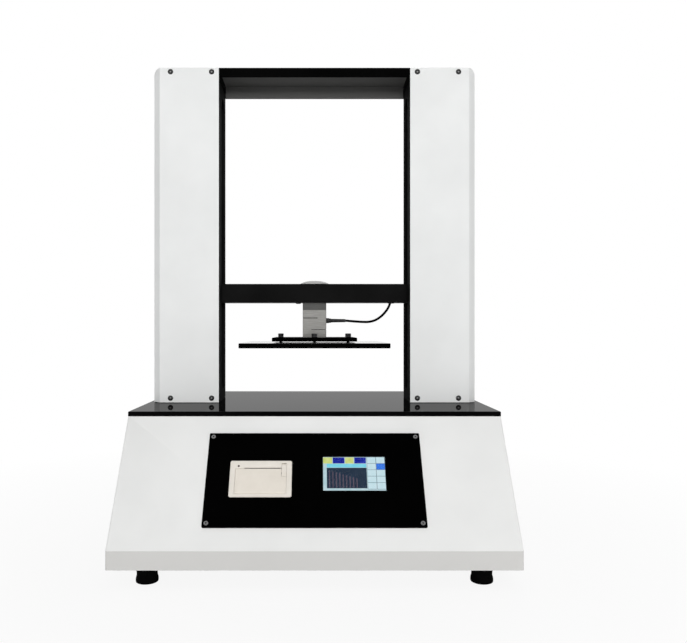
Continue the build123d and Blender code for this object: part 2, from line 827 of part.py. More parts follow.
# Cable gland with its bend sleeve on the right side of the cell, in line with the cable
gland_z = cell_bottom + gland_height
gland_end = half_cell + gland_length
sleeve_end = gland_end + sleeve_length
gland_axis = Plane(origin=(half_cell, load_axis_y, gland_z), x_dir=(0, 1, 0), z_dir=(1, 0, 0))
with BuildPart() as cable_gland:
    with BuildSketch(gland_axis):
        RegularPolygon(gland_diameter / 2, 6)
    extrude(amount=gland_length * 0.6)
    with BuildSketch(gland_axis.offset(gland_length * 0.6)):
        Circle(gland_diameter / 2 - 0.6)
    extrude(amount=gland_length * 0.4)
    with BuildSketch(gland_axis.offset(gland_length)):
        Circle(sleeve_diameter / 2)
    with BuildSketch(gland_axis.offset(gland_length + sleeve_length)):
        Circle(sleeve_diameter / 2 - 0.5)
    loft()
write(cable_gland.part, "cable_gland")

# Load-cell cable: leaves the sleeve level, sags a little, then climbs into the crosshead
cable_end_x = cable_hole_x + 0.3
cable_reach = cable_end_x - sleeve_end
cable_points = [
    (sleeve_end, load_axis_y, gland_z),
    (cable_end_x - 0.728 * cable_reach, load_axis_y, gland_z - 0.026 * cable_reach),
    (cable_end_x - 0.426 * cable_reach, load_axis_y, gland_z - 0.033 * cable_reach),
    (cable_end_x - 0.206 * cable_reach, load_axis_y, gland_z + 0.088 * cable_reach),
    (cable_end_x - 0.013 * cable_reach, load_axis_y, gland_z + 0.337 * cable_reach),
    (cable_end_x, load_axis_y, gland_z + 0.523 * cable_reach),
]
for cable_x, _, cable_z in cable_points:
    print("cable point", round(cable_x, 2), round(cable_z, 2))


def corner_radii(points):
    """At each corner, 0.45 of the shorter run over the tangent of half the turn."""
    radii = []
    for before, corner, after in zip(points, points[1:], points[2:]):
        run_in = Vector(corner) - Vector(before)
        run_out = Vector(after) - Vector(corner)
        half_turn = math.radians(run_in.get_angle(run_out)) / 2
        radii.append(0.45 * min(run_in.length, run_out.length) / math.tan(half_turn))
    return radii


cable_radii = corner_radii(cable_points)
print("cable corner radii", [round(r, 1) for r in cable_radii])
with BuildPart() as load_cell_cable:
    with BuildLine() as cable_route:
        FilletPolyline(*cable_points, radius=cable_radii)
    with BuildSketch(gland_axis.offset(gland_length + sleeve_length)):
        Circle(cable_diameter / 2)
    sweep(path=cable_route.line)
cable_length = sum(edge.length for edge in cable_route.line.edges())
cable_section = math.pi * cable_diameter**2 / 4
print("cable length", round(cable_length, 1))
cable_ratio = load_cell_cable.part.volume / cable_section / cable_length
print("cable volume over section times length", round(cable_ratio, 4))
write(load_cell_cable.part, "load_cell_cable")

grommet_bore = cable_diameter / 2 + 0.9
with BuildPart() as cable_grommet:
    low = crosshead_bottom - 1.2
    high = crosshead_bottom + 5.0
    post(cable_hole_x, load_axis_y, low, crosshead_bottom, cable_hole_radius + 1.6)
    post(cable_hole_x, load_axis_y, crosshead_bottom, high, cable_hole_radius)
    post(cable_hole_x, load_axis_y, low, high, grommet_bore, Mode.SUBTRACT)
write(cable_grommet.part, "cable_grommet")

# Flange plate, upper platen and the four levelling bolts between them
bolt_places = [
    (levelling_bolt_offset * dx, load_axis_y + levelling_bolt_offset * dy)
    for dx, dy in ((-1, 0), (1, 0), (0, -1), (0, 1))
]
bolt_hole = levelling_bolt_diameter / 2 + pin_gap
with BuildPart() as flange_plate:
    half = flange_width / 2
    block((-half, load_axis_y - half, flange_bottom), (half, load_axis_y + half, flange_top))
    chamfer(flange_plate.faces().sort_by(Axis.Z)[-1].edges(), 0.6)
    for x, y in bolt_places:
        post(x, y, flange_bottom, flange_top, bolt_hole, Mode.SUBTRACT)
    post(0, load_axis_y, flange_bottom, flange_top, stud_bore, Mode.SUBTRACT)
    recess = bolt_head_radius + part_gap
    post(0, load_axis_y, flange_bottom, flange_bottom + 3.5, recess, Mode.SUBTRACT)
write(flange_plate.part, "flange_plate")

platen_hole_depth = 7.0
with BuildPart() as upper_platen:
    half = platen_width / 2
    block((-half, load_axis_y - half, platen_bottom), (half, load_axis_y + half, platen_top))
    chamfer(upper_platen.edges().filter_by(Axis.Z, reverse=True), platen_edge)
    for x, y in bolt_places:
        post(x, y, platen_top - platen_hole_depth, platen_top, bolt_hole, Mode.SUBTRACT)
write(upper_platen.part, "upper_platen")

head_corner = levelling_head_across / 2 / math.cos(math.radians(30))
with BuildPart() as levelling_bolts:
    head_bottom = flange_top + levelling_nut_height
    for x, y in bolt_places:
        with BuildSketch(Plane.XY.offset(head_bottom)):
            with Locations((x, y)):
                RegularPolygon(head_corner, 6)
        extrude(amount=levelling_head_height)
        shank_bottom = platen_top - platen_hole_depth + 0.5
        post(x, y, shank_bottom, head_bottom, levelling_bolt_diameter / 2)
write(levelling_bolts.part, "levelling_bolts")

with BuildPart() as levelling_nuts:
    for x, y in bolt_places:
        with BuildSketch(Plane.XY.offset(flange_top)):
            with Locations((x, y)):
                RegularPolygon(head_corner, 6)
                Circle(bolt_hole, mode=Mode.SUBTRACT)
        extrude(amount=levelling_nut_height)
write(levelling_nuts.part, "levelling_lock_nuts")

# Control panel with windows for the touch screen and the printer
panel_screw_places = GridLocations(
    panel_width - 2 * panel_screw_inset, panel_height - 2 * panel_screw_inset, 2, 2
).locations
panel_screw_radius = 2.0
panel_plane = on_slope(0, panel_middle)
bay_outer_width = bay_width + 2 * bay_wall
bay_outer_height = bay_height + 2 * bay_wall
with BuildPart() as control_panel:
    with BuildSketch(panel_plane):
        RectangleRounded(panel_width, panel_height, panel_corner)
        with Locations((screen_x, screen_up - panel_middle)):
            Rectangle(screen_width + 2 * part_gap, screen_height + 2 * part_gap, mode=Mode.SUBTRACT)
        with Locations((printer_x, printer_up - panel_middle)):
            Rectangle(
                bay_outer_width + 2 * part_gap, bay_outer_height + 2 * part_gap, mode=Mode.SUBTRACT
            )
        with Locations(*panel_screw_places):
            Circle(panel_screw_radius + pin_gap, mode=Mode.SUBTRACT)
    extrude(amount=panel_thickness)
write(control_panel.part, "control_panel")

with BuildPart() as one_panel_screw:
    with BuildSketch():
        Circle(3.6)
    extrude(amount=1.8)
    with BuildSketch():
        Circle(panel_screw_radius)
    extrude(amount=-panel_thickness)
with BuildPart() as panel_screws:
    with Locations(panel_plane.offset(panel_thickness)):
        with Locations(*panel_screw_places):
            add(one_panel_screw.part)
write(panel_screws.part, "control_panel_screws")

glass_floor = panel_thickness - screen_glass - 0.2
with BuildPart() as touch_glass:
    with BuildSketch(on_slope(screen_x, screen_up, glass_floor)):
        RectangleRounded(screen_width, screen_height, 1.0)
    extrude(amount=screen_glass)
write(touch_glass.part, "touch_screen_glass")

with BuildPart() as touch_module:
    with BuildSketch(on_slope(screen_x, screen_up, -module_depth)):
        Rectangle(screen_width + 2 * module_margin, screen_height + 2 * module_margin)
    extrude(amount=module_depth)
    with BuildSketch(on_slope(screen_x, screen_up)):
        Rectangle(screen_width - 1, screen_height - 1)
    extrude(amount=glass_floor)
    with BuildSketch(on_slope(screen_x, screen_up, -module_depth)):
        Rectangle(screen_width * 0.8, screen_height * 0.7)
        Rectangle(screen_width * 0.72, screen_height * 0.6, mode=Mode.SUBTRACT)
    extrude(amount=-4)
write(touch_module.part, "touch_screen_module")

# Printer frame: bezel and paper bay in one moulding
printer_plane = on_slope(printer_x, printer_up, panel_thickness + bezel_thickness)
printer_side = across(printer_plane)
door_edge_gap = part_gap
window_half = door_width / 2 + door_edge_gap
window_low = door_lower_edge - door_edge_gap
window_high = door_upper_edge + door_edge_gap
latch_right = door_width / 2
latch_left = latch_right - latch_width
latch_high = latch_lower_edge + latch_length
hinge_up = door_lower_edge + hinge_radius
hinge_out = -door_recess - hinge_radius
latch_pivot_up = latch_high - hinge_radius
latch_pivot_out = -latch_recess - hinge_radius
latch_pin_radius = 1.0
rib_left = latch_left - 1.6
rib_right = latch_left - 0.4
latch_pin_length = bay_outer_width / 2 - rib_left
latch_side = across(printer_plane, (rib_left + bay_outer_width / 2) / 2)


def rectangle_between(left, low, right, high, mode=Mode.ADD):
    """A rectangle given by two corners, for the open sketch."""
    with Locations(((left + right) / 2, (low + high) / 2)):
        Rectangle(right - left, high - low, mode=mode)


with BuildPart() as printer_frame:
    with BuildSketch(printer_plane.offset(-bezel_thickness)):
        RectangleRounded(bezel_width, bezel_height, bezel_corner)
    extrude(amount=bezel_thickness)
    chamfer(printer_frame.faces().sort_by(SortBy.AREA)[-1].edges(), 0.7)
    with BuildSketch(printer_plane.offset(-bezel_thickness)):
        Rectangle(bay_outer_width, bay_outer_height)
    extrude(amount=-bay_depth)
    with BuildSketch(printer_plane.offset(-bezel_thickness)):
        Rectangle(bay_width, bay_height)
    extrude(amount=-bay_depth + bay_wall, mode=Mode.SUBTRACT)
    with BuildSketch(printer_plane.offset(-bezel_thickness)):
        rectangle_between(-window_half, window_low, window_half, window_high)
        rectangle_between(
            paper_slot_left, window_high, paper_slot_right, door_upper_edge + paper_slot_gap
        )
        rectangle_between(
            latch_left - door_edge_gap, window_high, window_half, latch_high + door_edge_gap
        )
        with Locations((lamp_x, lamp_y)):
            Circle(lamp_diameter / 2 + pin_gap)
    extrude(amount=bezel_thickness, mode=Mode.SUBTRACT)
    with BuildSketch(across(printer_plane, rib_left)):
        rectangle_between(latch_pivot_up - 3, -9, bay_height / 2, -bezel_thickness)
    extrude(amount=rib_right - rib_left)
    with Locations(printer_side):
        with Locations((hinge_up, hinge_out)):
            Cylinder(hinge_pin_diameter / 2 + seat_gap, bay_outer_width, mode=Mode.SUBTRACT)
    with Locations(latch_side):
        with Locations((latch_pivot_up, latch_pivot_out)):
            Cylinder(latch_pin_radius + seat_gap, latch_pin_length, mode=Mode.SUBTRACT)
write(printer_frame.part, "printer_frame")

# Printer door: hinged below, with two ears for the pressure roller
roller_up = 12.2
roller_out = -8.6
roller_shaft_radius = 1.5
ear_inner = roller_length / 2 + 0.5
ear_outer = ear_inner + 2.0
with BuildPart() as printer_door:
    with BuildSketch(across(printer_plane, -door_width / 2)):
        rectangle_between(hinge_up, hinge_out - 0.2, door_upper_edge, -door_recess)
        with Locations((hinge_up, hinge_out)):
            Circle(hinge_radius)
    extrude(amount=door_width)
    for start in (roller_centre - ear_outer, roller_centre + ear_inner):
        with BuildSketch(across(printer_plane, start)):
            rectangle_between(
                roller_up - 4, roller_out - 3, roller_up + 2.4, -door_recess - door_thickness + 0.5
            )
        extrude(amount=ear_outer - ear_inner)
    with BuildSketch(printer_plane):
        rectangle_between(
            latch_left - 1.3 * door_edge_gap,
            latch_lower_edge - 1.3 * door_edge_gap,
            bezel_width / 2,
            bezel_height / 2,
        )
    extrude(amount=-bay_depth / 2, mode=Mode.SUBTRACT)
    with Locations(printer_side):
        with Locations((hinge_up, hinge_out)):
            Cylinder(hinge_pin_diameter / 2 + pin_gap, door_width, mode=Mode.SUBTRACT)
        with Locations((roller_up, roller_out)):
            Cylinder(roller_shaft_radius + pin_gap, bay_width, mode=Mode.SUBTRACT)
write(printer_door.part, "printer_door")

with BuildPart() as printer_pins:
    with Locations(printer_side):
        with Locations((hinge_up, hinge_out)):
            Cylinder(hinge_pin_diameter / 2, bay_outer_width)
    with Locations(latch_side):
        with Locations((latch_pivot_up, latch_pivot_out)):
            Cylinder(latch_pin_radius, latch_pin_length)
write(printer_pins.part, "printer_pins")

with BuildPart() as pressure_roller:
    with Locations(across(printer_plane, roller_centre)):
        with Locations((roller_up, roller_out)):
            Cylinder(roller_diameter / 2, roller_length)
            Cylinder(roller_shaft_radius, 2 * ear_outer + 1.0)
write(pressure_roller.part, "printer_roller")

with BuildPart() as print_head:
    with BuildSketch(across(printer_plane, roller_centre - roller_length / 2)):
        head_low = door_upper_edge + paper_slot_gap
        rectangle_between(head_low, -14, bay_height / 2 - 0.5, -bezel_thickness)
    extrude(amount=roller_length)
    chamfer(print_head.edges().filter_by(Axis.X).sort_by(Axis.Z)[0], 1.5)
write(print_head.part, "print_head")

with BuildPart() as printer_latch:
    with BuildSketch(across(printer_plane, latch_left)):
        latch_floor = -latch_recess - latch_thickness
        rectangle_between(latch_lower_edge, latch_floor, latch_pivot_up, -latch_recess)
        with Locations((latch_pivot_up, latch_pivot_out)):
            Circle(hinge_radius)
    extrude(amount=latch_width)
    for groove in range(3):
        with BuildSketch(across(printer_plane, latch_left)):
            with Locations((latch_lower_edge + 2.5 + 2 * groove, -latch_recess)):
                Rectangle(0.8, 0.8)
        extrude(amount=latch_width, mode=Mode.SUBTRACT)
    with Locations(across(printer_plane, (latch_left + latch_right) / 2)):
        with Locations((latch_pivot_up, latch_pivot_out)):
            Cylinder(latch_pin_radius + pin_gap, latch_width, mode=Mode.SUBTRACT)
write(printer_latch.part, "printer_latch")

# Paper roll: lies in the lower rear corner of the bay
roll_up = -bay_height / 2 + paper_diameter / 2 + part_gap
roll_out = -bezel_thickness - bay_depth + bay_wall + paper_diameter / 2 + part_gap
with BuildPart() as paper_roll:
    with Locations(across(printer_plane, roller_centre)):
        with Locations((roll_up, roll_out)):
            Cylinder(paper_diameter / 2, paper_width)
            Cylinder(paper_core / 2, paper_width, mode=Mode.SUBTRACT)
write(paper_roll.part, "paper_roll")

with BuildPart() as status_lamp:
    with BuildSketch(on_slope(printer_x + lamp_x, printer_up + lamp_y, panel_thickness)):
        Circle(lamp_diameter / 2)
    extrude(amount=bezel_thickness + 0.3)
    chamfer(status_lamp.edges().filter_by(GeomType.CIRCLE).sort_by(Axis.Z)[-1], 0.4)
write(status_lamp.part, "printer_status_lamp")

# Rear panel with louvre slots and cut-outs
inlet_x = -base_width / 2 + inlet_from_side
port_x = inlet_x + port_pitch
louvre_x = base_width / 2 - louvre_from_side
inlet_body_width = inlet_bezel_width - 4.0
inlet_body_height = inlet_bezel_height - 4.0
port_width = 19.0
port_height = 10.6
rear_screw_places = [
    (x, z)
    for x in (-base_width / 2 + rear_flange / 2, 0, base_width / 2 - rear_flange / 2)
    for z in (housing_bottom + rear_flange / 2, deck_bottom - rear_flange / 2)
]
rear_screw_radius = 1.5
with BuildPart() as rear_panel:
    block(
        (-base_width / 2 + 1, housing_rear_y, housing_bottom + 1),
        (base_width / 2 - 1, rear_panel_y, deck_bottom - part_gap),
    )
    with BuildSketch(Plane.XZ.offset(-rear_panel_y)):
        with Locations((inlet_x, inlet_z)):
            Rectangle(inlet_body_width + 0.4, inlet_body_height + 0.4)
        with Locations((port_x, inlet_z)):
            Rectangle(port_width, port_height)
        for x in (louvre_x - louvre_bank_pitch, louvre_x):
            with Locations((x, (housing_bottom + deck_bottom) / 2)):
                with GridLocations(0, louvre_pitch, 1, louvre_rows):
                    Rectangle(louvre_length, louvre_width)
        with Locations(*rear_screw_places):
            Circle(rear_screw_radius + pin_gap)
    extrude(amount=2 * housing_sheet, both=True, mode=Mode.SUBTRACT)
write(rear_panel.part, "rear_panel")

with BuildPart() as rear_screws:
    for x, z in rear_screw_places:
        with BuildSketch(Plane.XZ.offset(-rear_panel_y)):
            with Locations((x, z)):
                Circle(2 * rear_screw_radius)
        extrude(amount=-1.8)
        with BuildSketch(Plane.XZ.offset(-rear_panel_y)):
            with Locations((x, z)):
                Circle(rear_screw_radius)
        extrude(amount=housing_sheet)
write(rear_screws.part, "rear_panel_screws")

# Power inlet: socket below, rocker window above
socket_z = inlet_z - 11.0
rocker_z = inlet_z + 13.0
inlet_face_y = rear_panel_y + inlet_bezel_thickness
rocker_window = rocker_width + 1.6
with BuildPart() as power_inlet:
    block(
        (
            inlet_x - inlet_body_width / 2,
            rear_panel_y - inlet_body_depth,
            inlet_z - inlet_body_height / 2,
        ),
        (inlet_x + inlet_body_width / 2, rear_panel_y, inlet_z + inlet_body_height / 2),
    )
    with BuildSketch(Plane.XZ.offset(-rear_panel_y)):
        with Locations((inlet_x, inlet_z)):
            RectangleRounded(inlet_bezel_width, inlet_bezel_height, 2)
    extrude(amount=-inlet_bezel_thickness)
    with BuildSketch(Plane.XZ.offset(-inlet_face_y)):
        with Locations((inlet_x, socket_z)):
            Rectangle(socket_width, socket_height)
    extrude(amount=socket_depth, mode=Mode.SUBTRACT)
    with BuildSketch(Plane.XZ.offset(-inlet_face_y)):
        with Locations((inlet_x, rocker_z)):
            Rectangle(rocker_window, rocker_height + 2 * part_gap)
    extrude(amount=14, mode=Mode.SUBTRACT)
write(power_inlet.part, "power_inlet")

# Rocker of the power switch, drawn tilted to its off position
rocker_pivot_y = inlet_face_y - 6.0
half_rocker = rocker_width / 2
with BuildPart() as power_rocker:
    tilted = Plane(origin=(inlet_x, rocker_pivot_y, rocker_z - rocker_height / 2)).rotated(
        (0, 0, rocker_tilt)
    )
    with BuildSketch(tilted):
        with BuildLine():
            Polyline(
                (-half_rocker, 0),
                (-half_rocker, 4.6),
                (0, 3.4),
                (half_rocker, 4.6),
                (half_rocker, 0),
                (3, -4),
                (-3, -4),
                close=True,
            )
        make_face()
    extrude(amount=rocker_height)
write(power_rocker.part, "power_rocker")

with BuildPart() as data_port:
    with BuildSketch(Plane.XZ.offset(-housing_rear_y)):
        with Locations((port_x, inlet_z)):
            Rectangle(port_width + 12, port_height + 3)
    extrude(amount=1.2)
    with BuildSketch(Plane.XZ.offset(-housing_rear_y)):
        with Locations((port_x, inlet_z)):
            Trapezoid(port_width - 2, port_height - 2, 80)
            Trapezoid(port_width - 3.2, port_height - 3.2, 80, mode=Mode.SUBTRACT)
    extrude(amount=-housing_sheet - 2.6)
    with BuildSketch(Plane.XZ.offset(-housing_rear_y)):
        with Locations((port_x, inlet_z + 1.4)):
            with GridLocations(2.8, 0, 5, 1):
                Rectangle(0.8, 0.8)
        with Locations((port_x, inlet_z - 1.4)):
            with GridLocations(2.8, 0, 4, 1):
                Rectangle(0.8, 0.8)
    extrude(amount=-3.5)
write(data_port.part, "data_port")

# Electronics on the pan: each is a box with grooves across its top
supply_x = -base_width / 2 + supply_from_side + supply_width / 2
supply_y = rear_panel_y - supply_from_rear - supply_depth / 2
with BuildPart() as power_supply:
    with Locations((supply_x, supply_y, housing_bottom + supply_height / 2)):
        Box(supply_width, supply_depth, supply_height)
    chamfer(power_supply.edges().filter_by(Axis.Z), 2.0)
    with Locations((supply_x, supply_y, housing_bottom + supply_height)):
        with GridLocations(supply_groove_pitch, 0, 10, 1):
            Box(0.43 * supply_groove_pitch, 0.7 * supply_depth, 3, mode=Mode.SUBTRACT)
write(power_supply.part, "power_supply")

with BuildPart() as motor_drive:
    with Locations((drive_x, drive_y, housing_bottom + drive_height / 2)):
        Box(drive_width, drive_depth, drive_height)
    with Locations((drive_x, drive_y, housing_bottom + drive_height)):
        with GridLocations(drive_fin_pitch, 0, 10, 1):
            Box(drive_fin_pitch / 2, drive_depth, 2 * drive_fin_height, mode=Mode.SUBTRACT)
write(motor_drive.part, "motor_drive")

for label, up, out in (
    ("printer door hinge", hinge_up, hinge_out),
    ("printer latch pivot", latch_pivot_up, latch_pivot_out),
    ("printer roller axis", roller_up, roller_out),
    ("paper roll axis", roll_up, roll_out),
):
    place = printer_plane.from_local_coords(Vector(0, up, out))
    print(label, [round(v, 3) for v in place])
print("rocker pivot", (inlet_x, rocker_pivot_y, rocker_z))
print("platen bottom", platen_bottom, "deck top", deck_top)
print("crosshead", crosshead_bottom, crosshead_top)
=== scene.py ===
# %% [markdown]
# # A two-column compression tester
#
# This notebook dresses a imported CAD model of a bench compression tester. The CAD nodes already have the
# right sizes and ride on the right bodies. Blender adds the camera, the light, the finishes, and the
# pieces whose look depends on fine detail: threads, hexagon sockets, the screen picture and the cable.

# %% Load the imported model
import bpy
import bmesh
import math
from mathutils import Matrix, Vector


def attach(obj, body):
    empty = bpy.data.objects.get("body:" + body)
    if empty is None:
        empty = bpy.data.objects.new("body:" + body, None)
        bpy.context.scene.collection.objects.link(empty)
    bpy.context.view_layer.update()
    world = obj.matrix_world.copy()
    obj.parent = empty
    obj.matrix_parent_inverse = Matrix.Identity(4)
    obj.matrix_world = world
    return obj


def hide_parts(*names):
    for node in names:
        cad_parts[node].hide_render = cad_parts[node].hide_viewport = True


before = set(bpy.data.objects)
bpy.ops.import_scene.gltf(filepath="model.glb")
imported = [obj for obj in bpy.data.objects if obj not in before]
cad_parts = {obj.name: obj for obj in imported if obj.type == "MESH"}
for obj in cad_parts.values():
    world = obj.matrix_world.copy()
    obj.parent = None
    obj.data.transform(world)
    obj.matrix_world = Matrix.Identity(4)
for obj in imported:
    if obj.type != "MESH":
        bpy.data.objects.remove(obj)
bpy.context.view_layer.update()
mm = 0.001

# %% [markdown]
# ## The camera
#
# The picture was taken from straight in front, a metre before the front of the base and a little above
# the deck. A level camera keeps the columns upright, so the view is moved with the lens shift and not by
# tilting the camera. The shift is given as a share of the picture's width.

# %% Place the camera
picture_width = 687
focal_pixels = 698.7
eye = Vector((0.0, -1.2485, 0.3693))
view_data = bpy.data.cameras.new("photo_camera")
view_data.sensor_width = 36.0
view_data.lens = 36.0 * focal_pixels / picture_width
view_data.shift_x = 29.0 / picture_width
view_data.shift_y = 8.5 / picture_width
view_data.clip_start = 0.05
view_data.clip_end = 60.0
camera = bpy.data.objects.new("photo_camera", view_data)
camera.location = eye
camera.rotation_euler = (math.radians(90), 0, 0)
bpy.context.scene.collection.objects.link(camera)
bpy.context.scene.camera = camera
print("lens", round(view_data.lens, 2), "mm")

# %% [markdown]
# ## The load-cell cable
#
# A thin black cable leaves the sleeve of the load cell level, sags a little and climbs into the
# crosshead. A cable is one smooth curve, so a NURBS spline fits it well: its control points pull the
# line without corners. The order is set after the points are added, because before that Blender
# lowers it to what two points allow. A point's radius counts in the curve's box, also when a bevel
# gives the thickness, so each point carries the cable's real radius and the bevel depth is one.

# %% Draw the cable
cable_diameter = 4.5 * mm
cable_plane = 71.0
cable_points = [
    (58.6, 387.0),
    (82.02, 384.76),
    (108.02, 384.16),
    (126.96, 394.58),
    (143.58, 416.02),
    (144.7, 432.03),
]
cable_curve = bpy.data.curves.new("load_cell_cable_line", "CURVE")
cable_curve.dimensions = "3D"
cable_curve.bevel_depth = 1.0
cable_curve.bevel_resolution = 6
cable_curve.resolution_u = 16
cable_curve.use_fill_caps = True
spline = cable_curve.splines.new("NURBS")
spline.points.add(len(cable_points) - 1)
for point, (x, z) in zip(spline.points, cable_points):
    point.co = (x * mm, cable_plane * mm, z * mm, 1.0)
    point.radius = cable_diameter / 2
spline.order_u = 3
spline.use_endpoint_u = True
cable = bpy.data.objects.new("load_cell_cable_run", cable_curve)
bpy.context.scene.collection.objects.link(cable)
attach(cable, "crosshead_assembly")
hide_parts("load_cell_cable")

# %% [markdown]
# ## Helpers for finishes
#
# Every finish is a Principled shader. A finish gets its life from small differences: a noise on object
# coordinates changes the colour a little, and a finer one becomes a bump. Object coordinates are in
# metres here, so a noise scale of 1000 gives grains of about a millimetre.

# %% Build finishes from noise
def start_finish(name, roughness, metallic=0.0):
    """A new material and its shader, with the even values set on the shader's own sockets."""
    finish = bpy.data.materials.new(name)
    finish.use_nodes = True
    shader = finish.node_tree.nodes["Principled BSDF"]
    shader.inputs["Roughness"].default_value = roughness
    shader.inputs["Metallic"].default_value = metallic
    return finish, shader


def object_noise(finish, scale, detail=3.0, stretch=(1, 1, 1)):
    """Noise on object coordinates; stretch makes it streaky along one axis."""
    nodes, links = finish.node_tree.nodes, finish.node_tree.links
    place = nodes.new("ShaderNodeTexCoord")
    turn = nodes.new("ShaderNodeMapping")
    turn.inputs["Scale"].default_value = stretch
    noise = nodes.new("ShaderNodeTexNoise")
    noise.inputs["Scale"].default_value = scale
    noise.inputs["Detail"].default_value = detail
    links.new(place.outputs["Object"], turn.inputs["Vector"])
    links.new(turn.outputs["Vector"], noise.inputs["Vector"])
    return noise


def tint(finish, shader, noise, dark, pale, low=0.35, high=0.65, socket="Base Color"):
    """Colours the surface between two tones, following the noise."""
    ramp = finish.node_tree.nodes.new("ShaderNodeValToRGB")
    ramp.color_ramp.elements[0].position = low
    ramp.color_ramp.elements[1].position = high
    ramp.color_ramp.elements[0].color = (*dark, 1.0)
    ramp.color_ramp.elements[1].color = (*pale, 1.0)
    finish.node_tree.links.new(noise.outputs["Fac"], ramp.inputs["Fac"])
    finish.node_tree.links.new(ramp.outputs["Color"], shader.inputs[socket])


def grain(finish, shader, noise, strength, height):
    """Turns the noise into a fine relief."""
    bump = finish.node_tree.nodes.new("ShaderNodeBump")
    bump.inputs["Strength"].default_value = strength
    bump.inputs["Distance"].default_value = height
    finish.node_tree.links.new(noise.outputs["Fac"], bump.inputs["Height"])
    finish.node_tree.links.new(bump.outputs["Normal"], shader.inputs["Normal"])


def gloss_range(finish, shader, noise, low, high):
    """Lets the roughness wander between two values."""
    span = finish.node_tree.nodes.new("ShaderNodeMapRange")
    span.inputs["To Min"].default_value = low
    span.inputs["To Max"].default_value = high
    finish.node_tree.links.new(noise.outputs["Fac"], span.inputs["Value"])
    finish.node_tree.links.new(span.outputs["Result"], shader.inputs["Roughness"])


# %% [markdown]
# ## Paints, plastics and rubbers
#
# The covers have a smooth white powder coat with a faint orange peel, and the skirt of the base is a warm
# pale grey, darker partly from a warmer paint and partly from painted shade near the floor. The frame is a
# deep black with little shine, so its specular level is kept low.

# %% Mix the paints
def painted(name, dark, pale, roughness, peel_scale, peel, shine=0.5):
    """Powder coat or enamel: two near tones, a wandering gloss and a fine peel."""
    finish, shader = start_finish(name, roughness)
    tint(finish, shader, object_noise(finish, 9.0), dark, pale)
    grain(finish, shader, object_noise(finish, peel_scale, 1.0), peel, 0.0002)
    gloss_range(finish, shader, object_noise(finish, 60.0), roughness * 0.88, roughness * 1.12)
    shader.inputs["Specular IOR Level"].default_value = shine
    return finish, shader


def band_along(finish, axis, low, high):
    """A factor that climbs from 0 to 1 between two heights (or places) on one object axis."""
    nodes, links = finish.node_tree.nodes, finish.node_tree.links
    place = nodes.new("ShaderNodeTexCoord")
    parts = nodes.new("ShaderNodeSeparateXYZ")
    span = nodes.new("ShaderNodeMapRange")
    span.inputs["From Min"].default_value = low
    span.inputs["From Max"].default_value = high
    links.new(place.outputs["Object"], parts.inputs["Vector"])
    links.new(parts.outputs[axis], span.inputs["Value"])
    return span


def grey(value):
    """An even grey."""
    return (value, value, value)


white_paint, _ = painted(
    "white_powder_coat", (0.80, 0.81, 0.805), (0.84, 0.85, 0.845), 0.42, 700.0, 0.08, 0.2
)
black_paint, _ = painted("black_powder_coat", grey(0.005), grey(0.009), 0.45, 900.0, 0.12, 0.025)
platen_black, platen_shader = painted("platen_black", grey(0.0004), grey(0.0008), 0.5, 500.0, 0.01, 0.01)
channel_black, _ = painted("channel_black", grey(0.011), grey(0.017), 0.75, 800.0, 0.1, 0.01)
panel_black, _ = painted("panel_black", grey(0.0004), grey(0.0008), 0.6, 1500.0, 0.05, 0.004)

# %% [markdown]
# The housing has the covers' coat, mixed a little lighter as painted light on the sloped front. Its skirt is
# a darker, warmer tone: a warmer paint, darkened further by painted shade near the floor. Both tones are on
# one sheet, so one material mixes them by height with a narrow step at the fold.

# %% Darken the skirt of the base with a warmer paint and painted shade
skirt_top = 52.8 * mm
# The housing's white is a little lighter than the covers' white: painted light on the sloped front.
housing_coat_painted_light_and_shade, housing_shader = painted(
    "housing_coat_with_painted_light_and_shade", (0.86, 0.865, 0.855), (0.90, 0.905, 0.895), 0.42, 700.0, 0.08, 0.2
)
height = band_along(housing_coat_painted_light_and_shade, "Z", skirt_top - 0.6 * mm, skirt_top + 0.6 * mm)
paint_and_shade_by_height = housing_coat_painted_light_and_shade.node_tree.nodes.new("ShaderNodeMix")
paint_and_shade_by_height.data_type = "RGBA"
skirt_paint_and_shade_noise = object_noise(housing_coat_painted_light_and_shade, 9.0)
# The skirt's darker tone is a warmer paint plus painted shade near the floor.
skirt_paint_and_shade_ramp = housing_coat_painted_light_and_shade.node_tree.nodes.new("ShaderNodeValToRGB")
skirt_paint_and_shade_ramp.color_ramp.elements[0].color = (0.61, 0.605, 0.59, 1.0)
skirt_paint_and_shade_ramp.color_ramp.elements[1].color = (0.645, 0.64, 0.625, 1.0)
upper_coat_and_painted_light = housing_shader.inputs["Base Color"].links[0].from_socket
for start, end in (
    (skirt_paint_and_shade_noise.outputs["Fac"], skirt_paint_and_shade_ramp.inputs["Fac"]),
    (height.outputs["Result"], paint_and_shade_by_height.inputs["Factor"]),
    (skirt_paint_and_shade_ramp.outputs["Color"], paint_and_shade_by_height.inputs["A"]),
    (upper_coat_and_painted_light, paint_and_shade_by_height.inputs["B"]),
    (paint_and_shade_by_height.outputs["Result"], housing_shader.inputs["Base Color"]),
):
    housing_coat_painted_light_and_shade.node_tree.links.new(start, end)

# %% [markdown]
# The top beam is an open channel. Outside it is black, and its inside is painted a dark grey: painted light
# that lifts the shadowed inside of the channel. A box in object coordinates picks the inside: three bands,
# one for each axis, multiplied.

# %% Paint light on the inside of the beam
def joined(finish, operation, first, second):
    """A math node that takes two factors."""
    node = finish.node_tree.nodes.new("ShaderNodeMath")
    node.operation = operation
    finish.node_tree.links.new(first, node.inputs[0])
    finish.node_tree.links.new(second, node.inputs[1])
    return node.outputs[0]


def between(finish, axis, low, high):
    """A factor that is 1 between two places on an object axis and 0 outside them."""
    rises = band_along(finish, axis, low - 0.2 * mm, low + 0.2 * mm)
    falls = band_along(finish, axis, high + 0.2 * mm, high - 0.2 * mm)
    return joined(finish, "MULTIPLY", rises.outputs["Result"], falls.outputs["Result"])


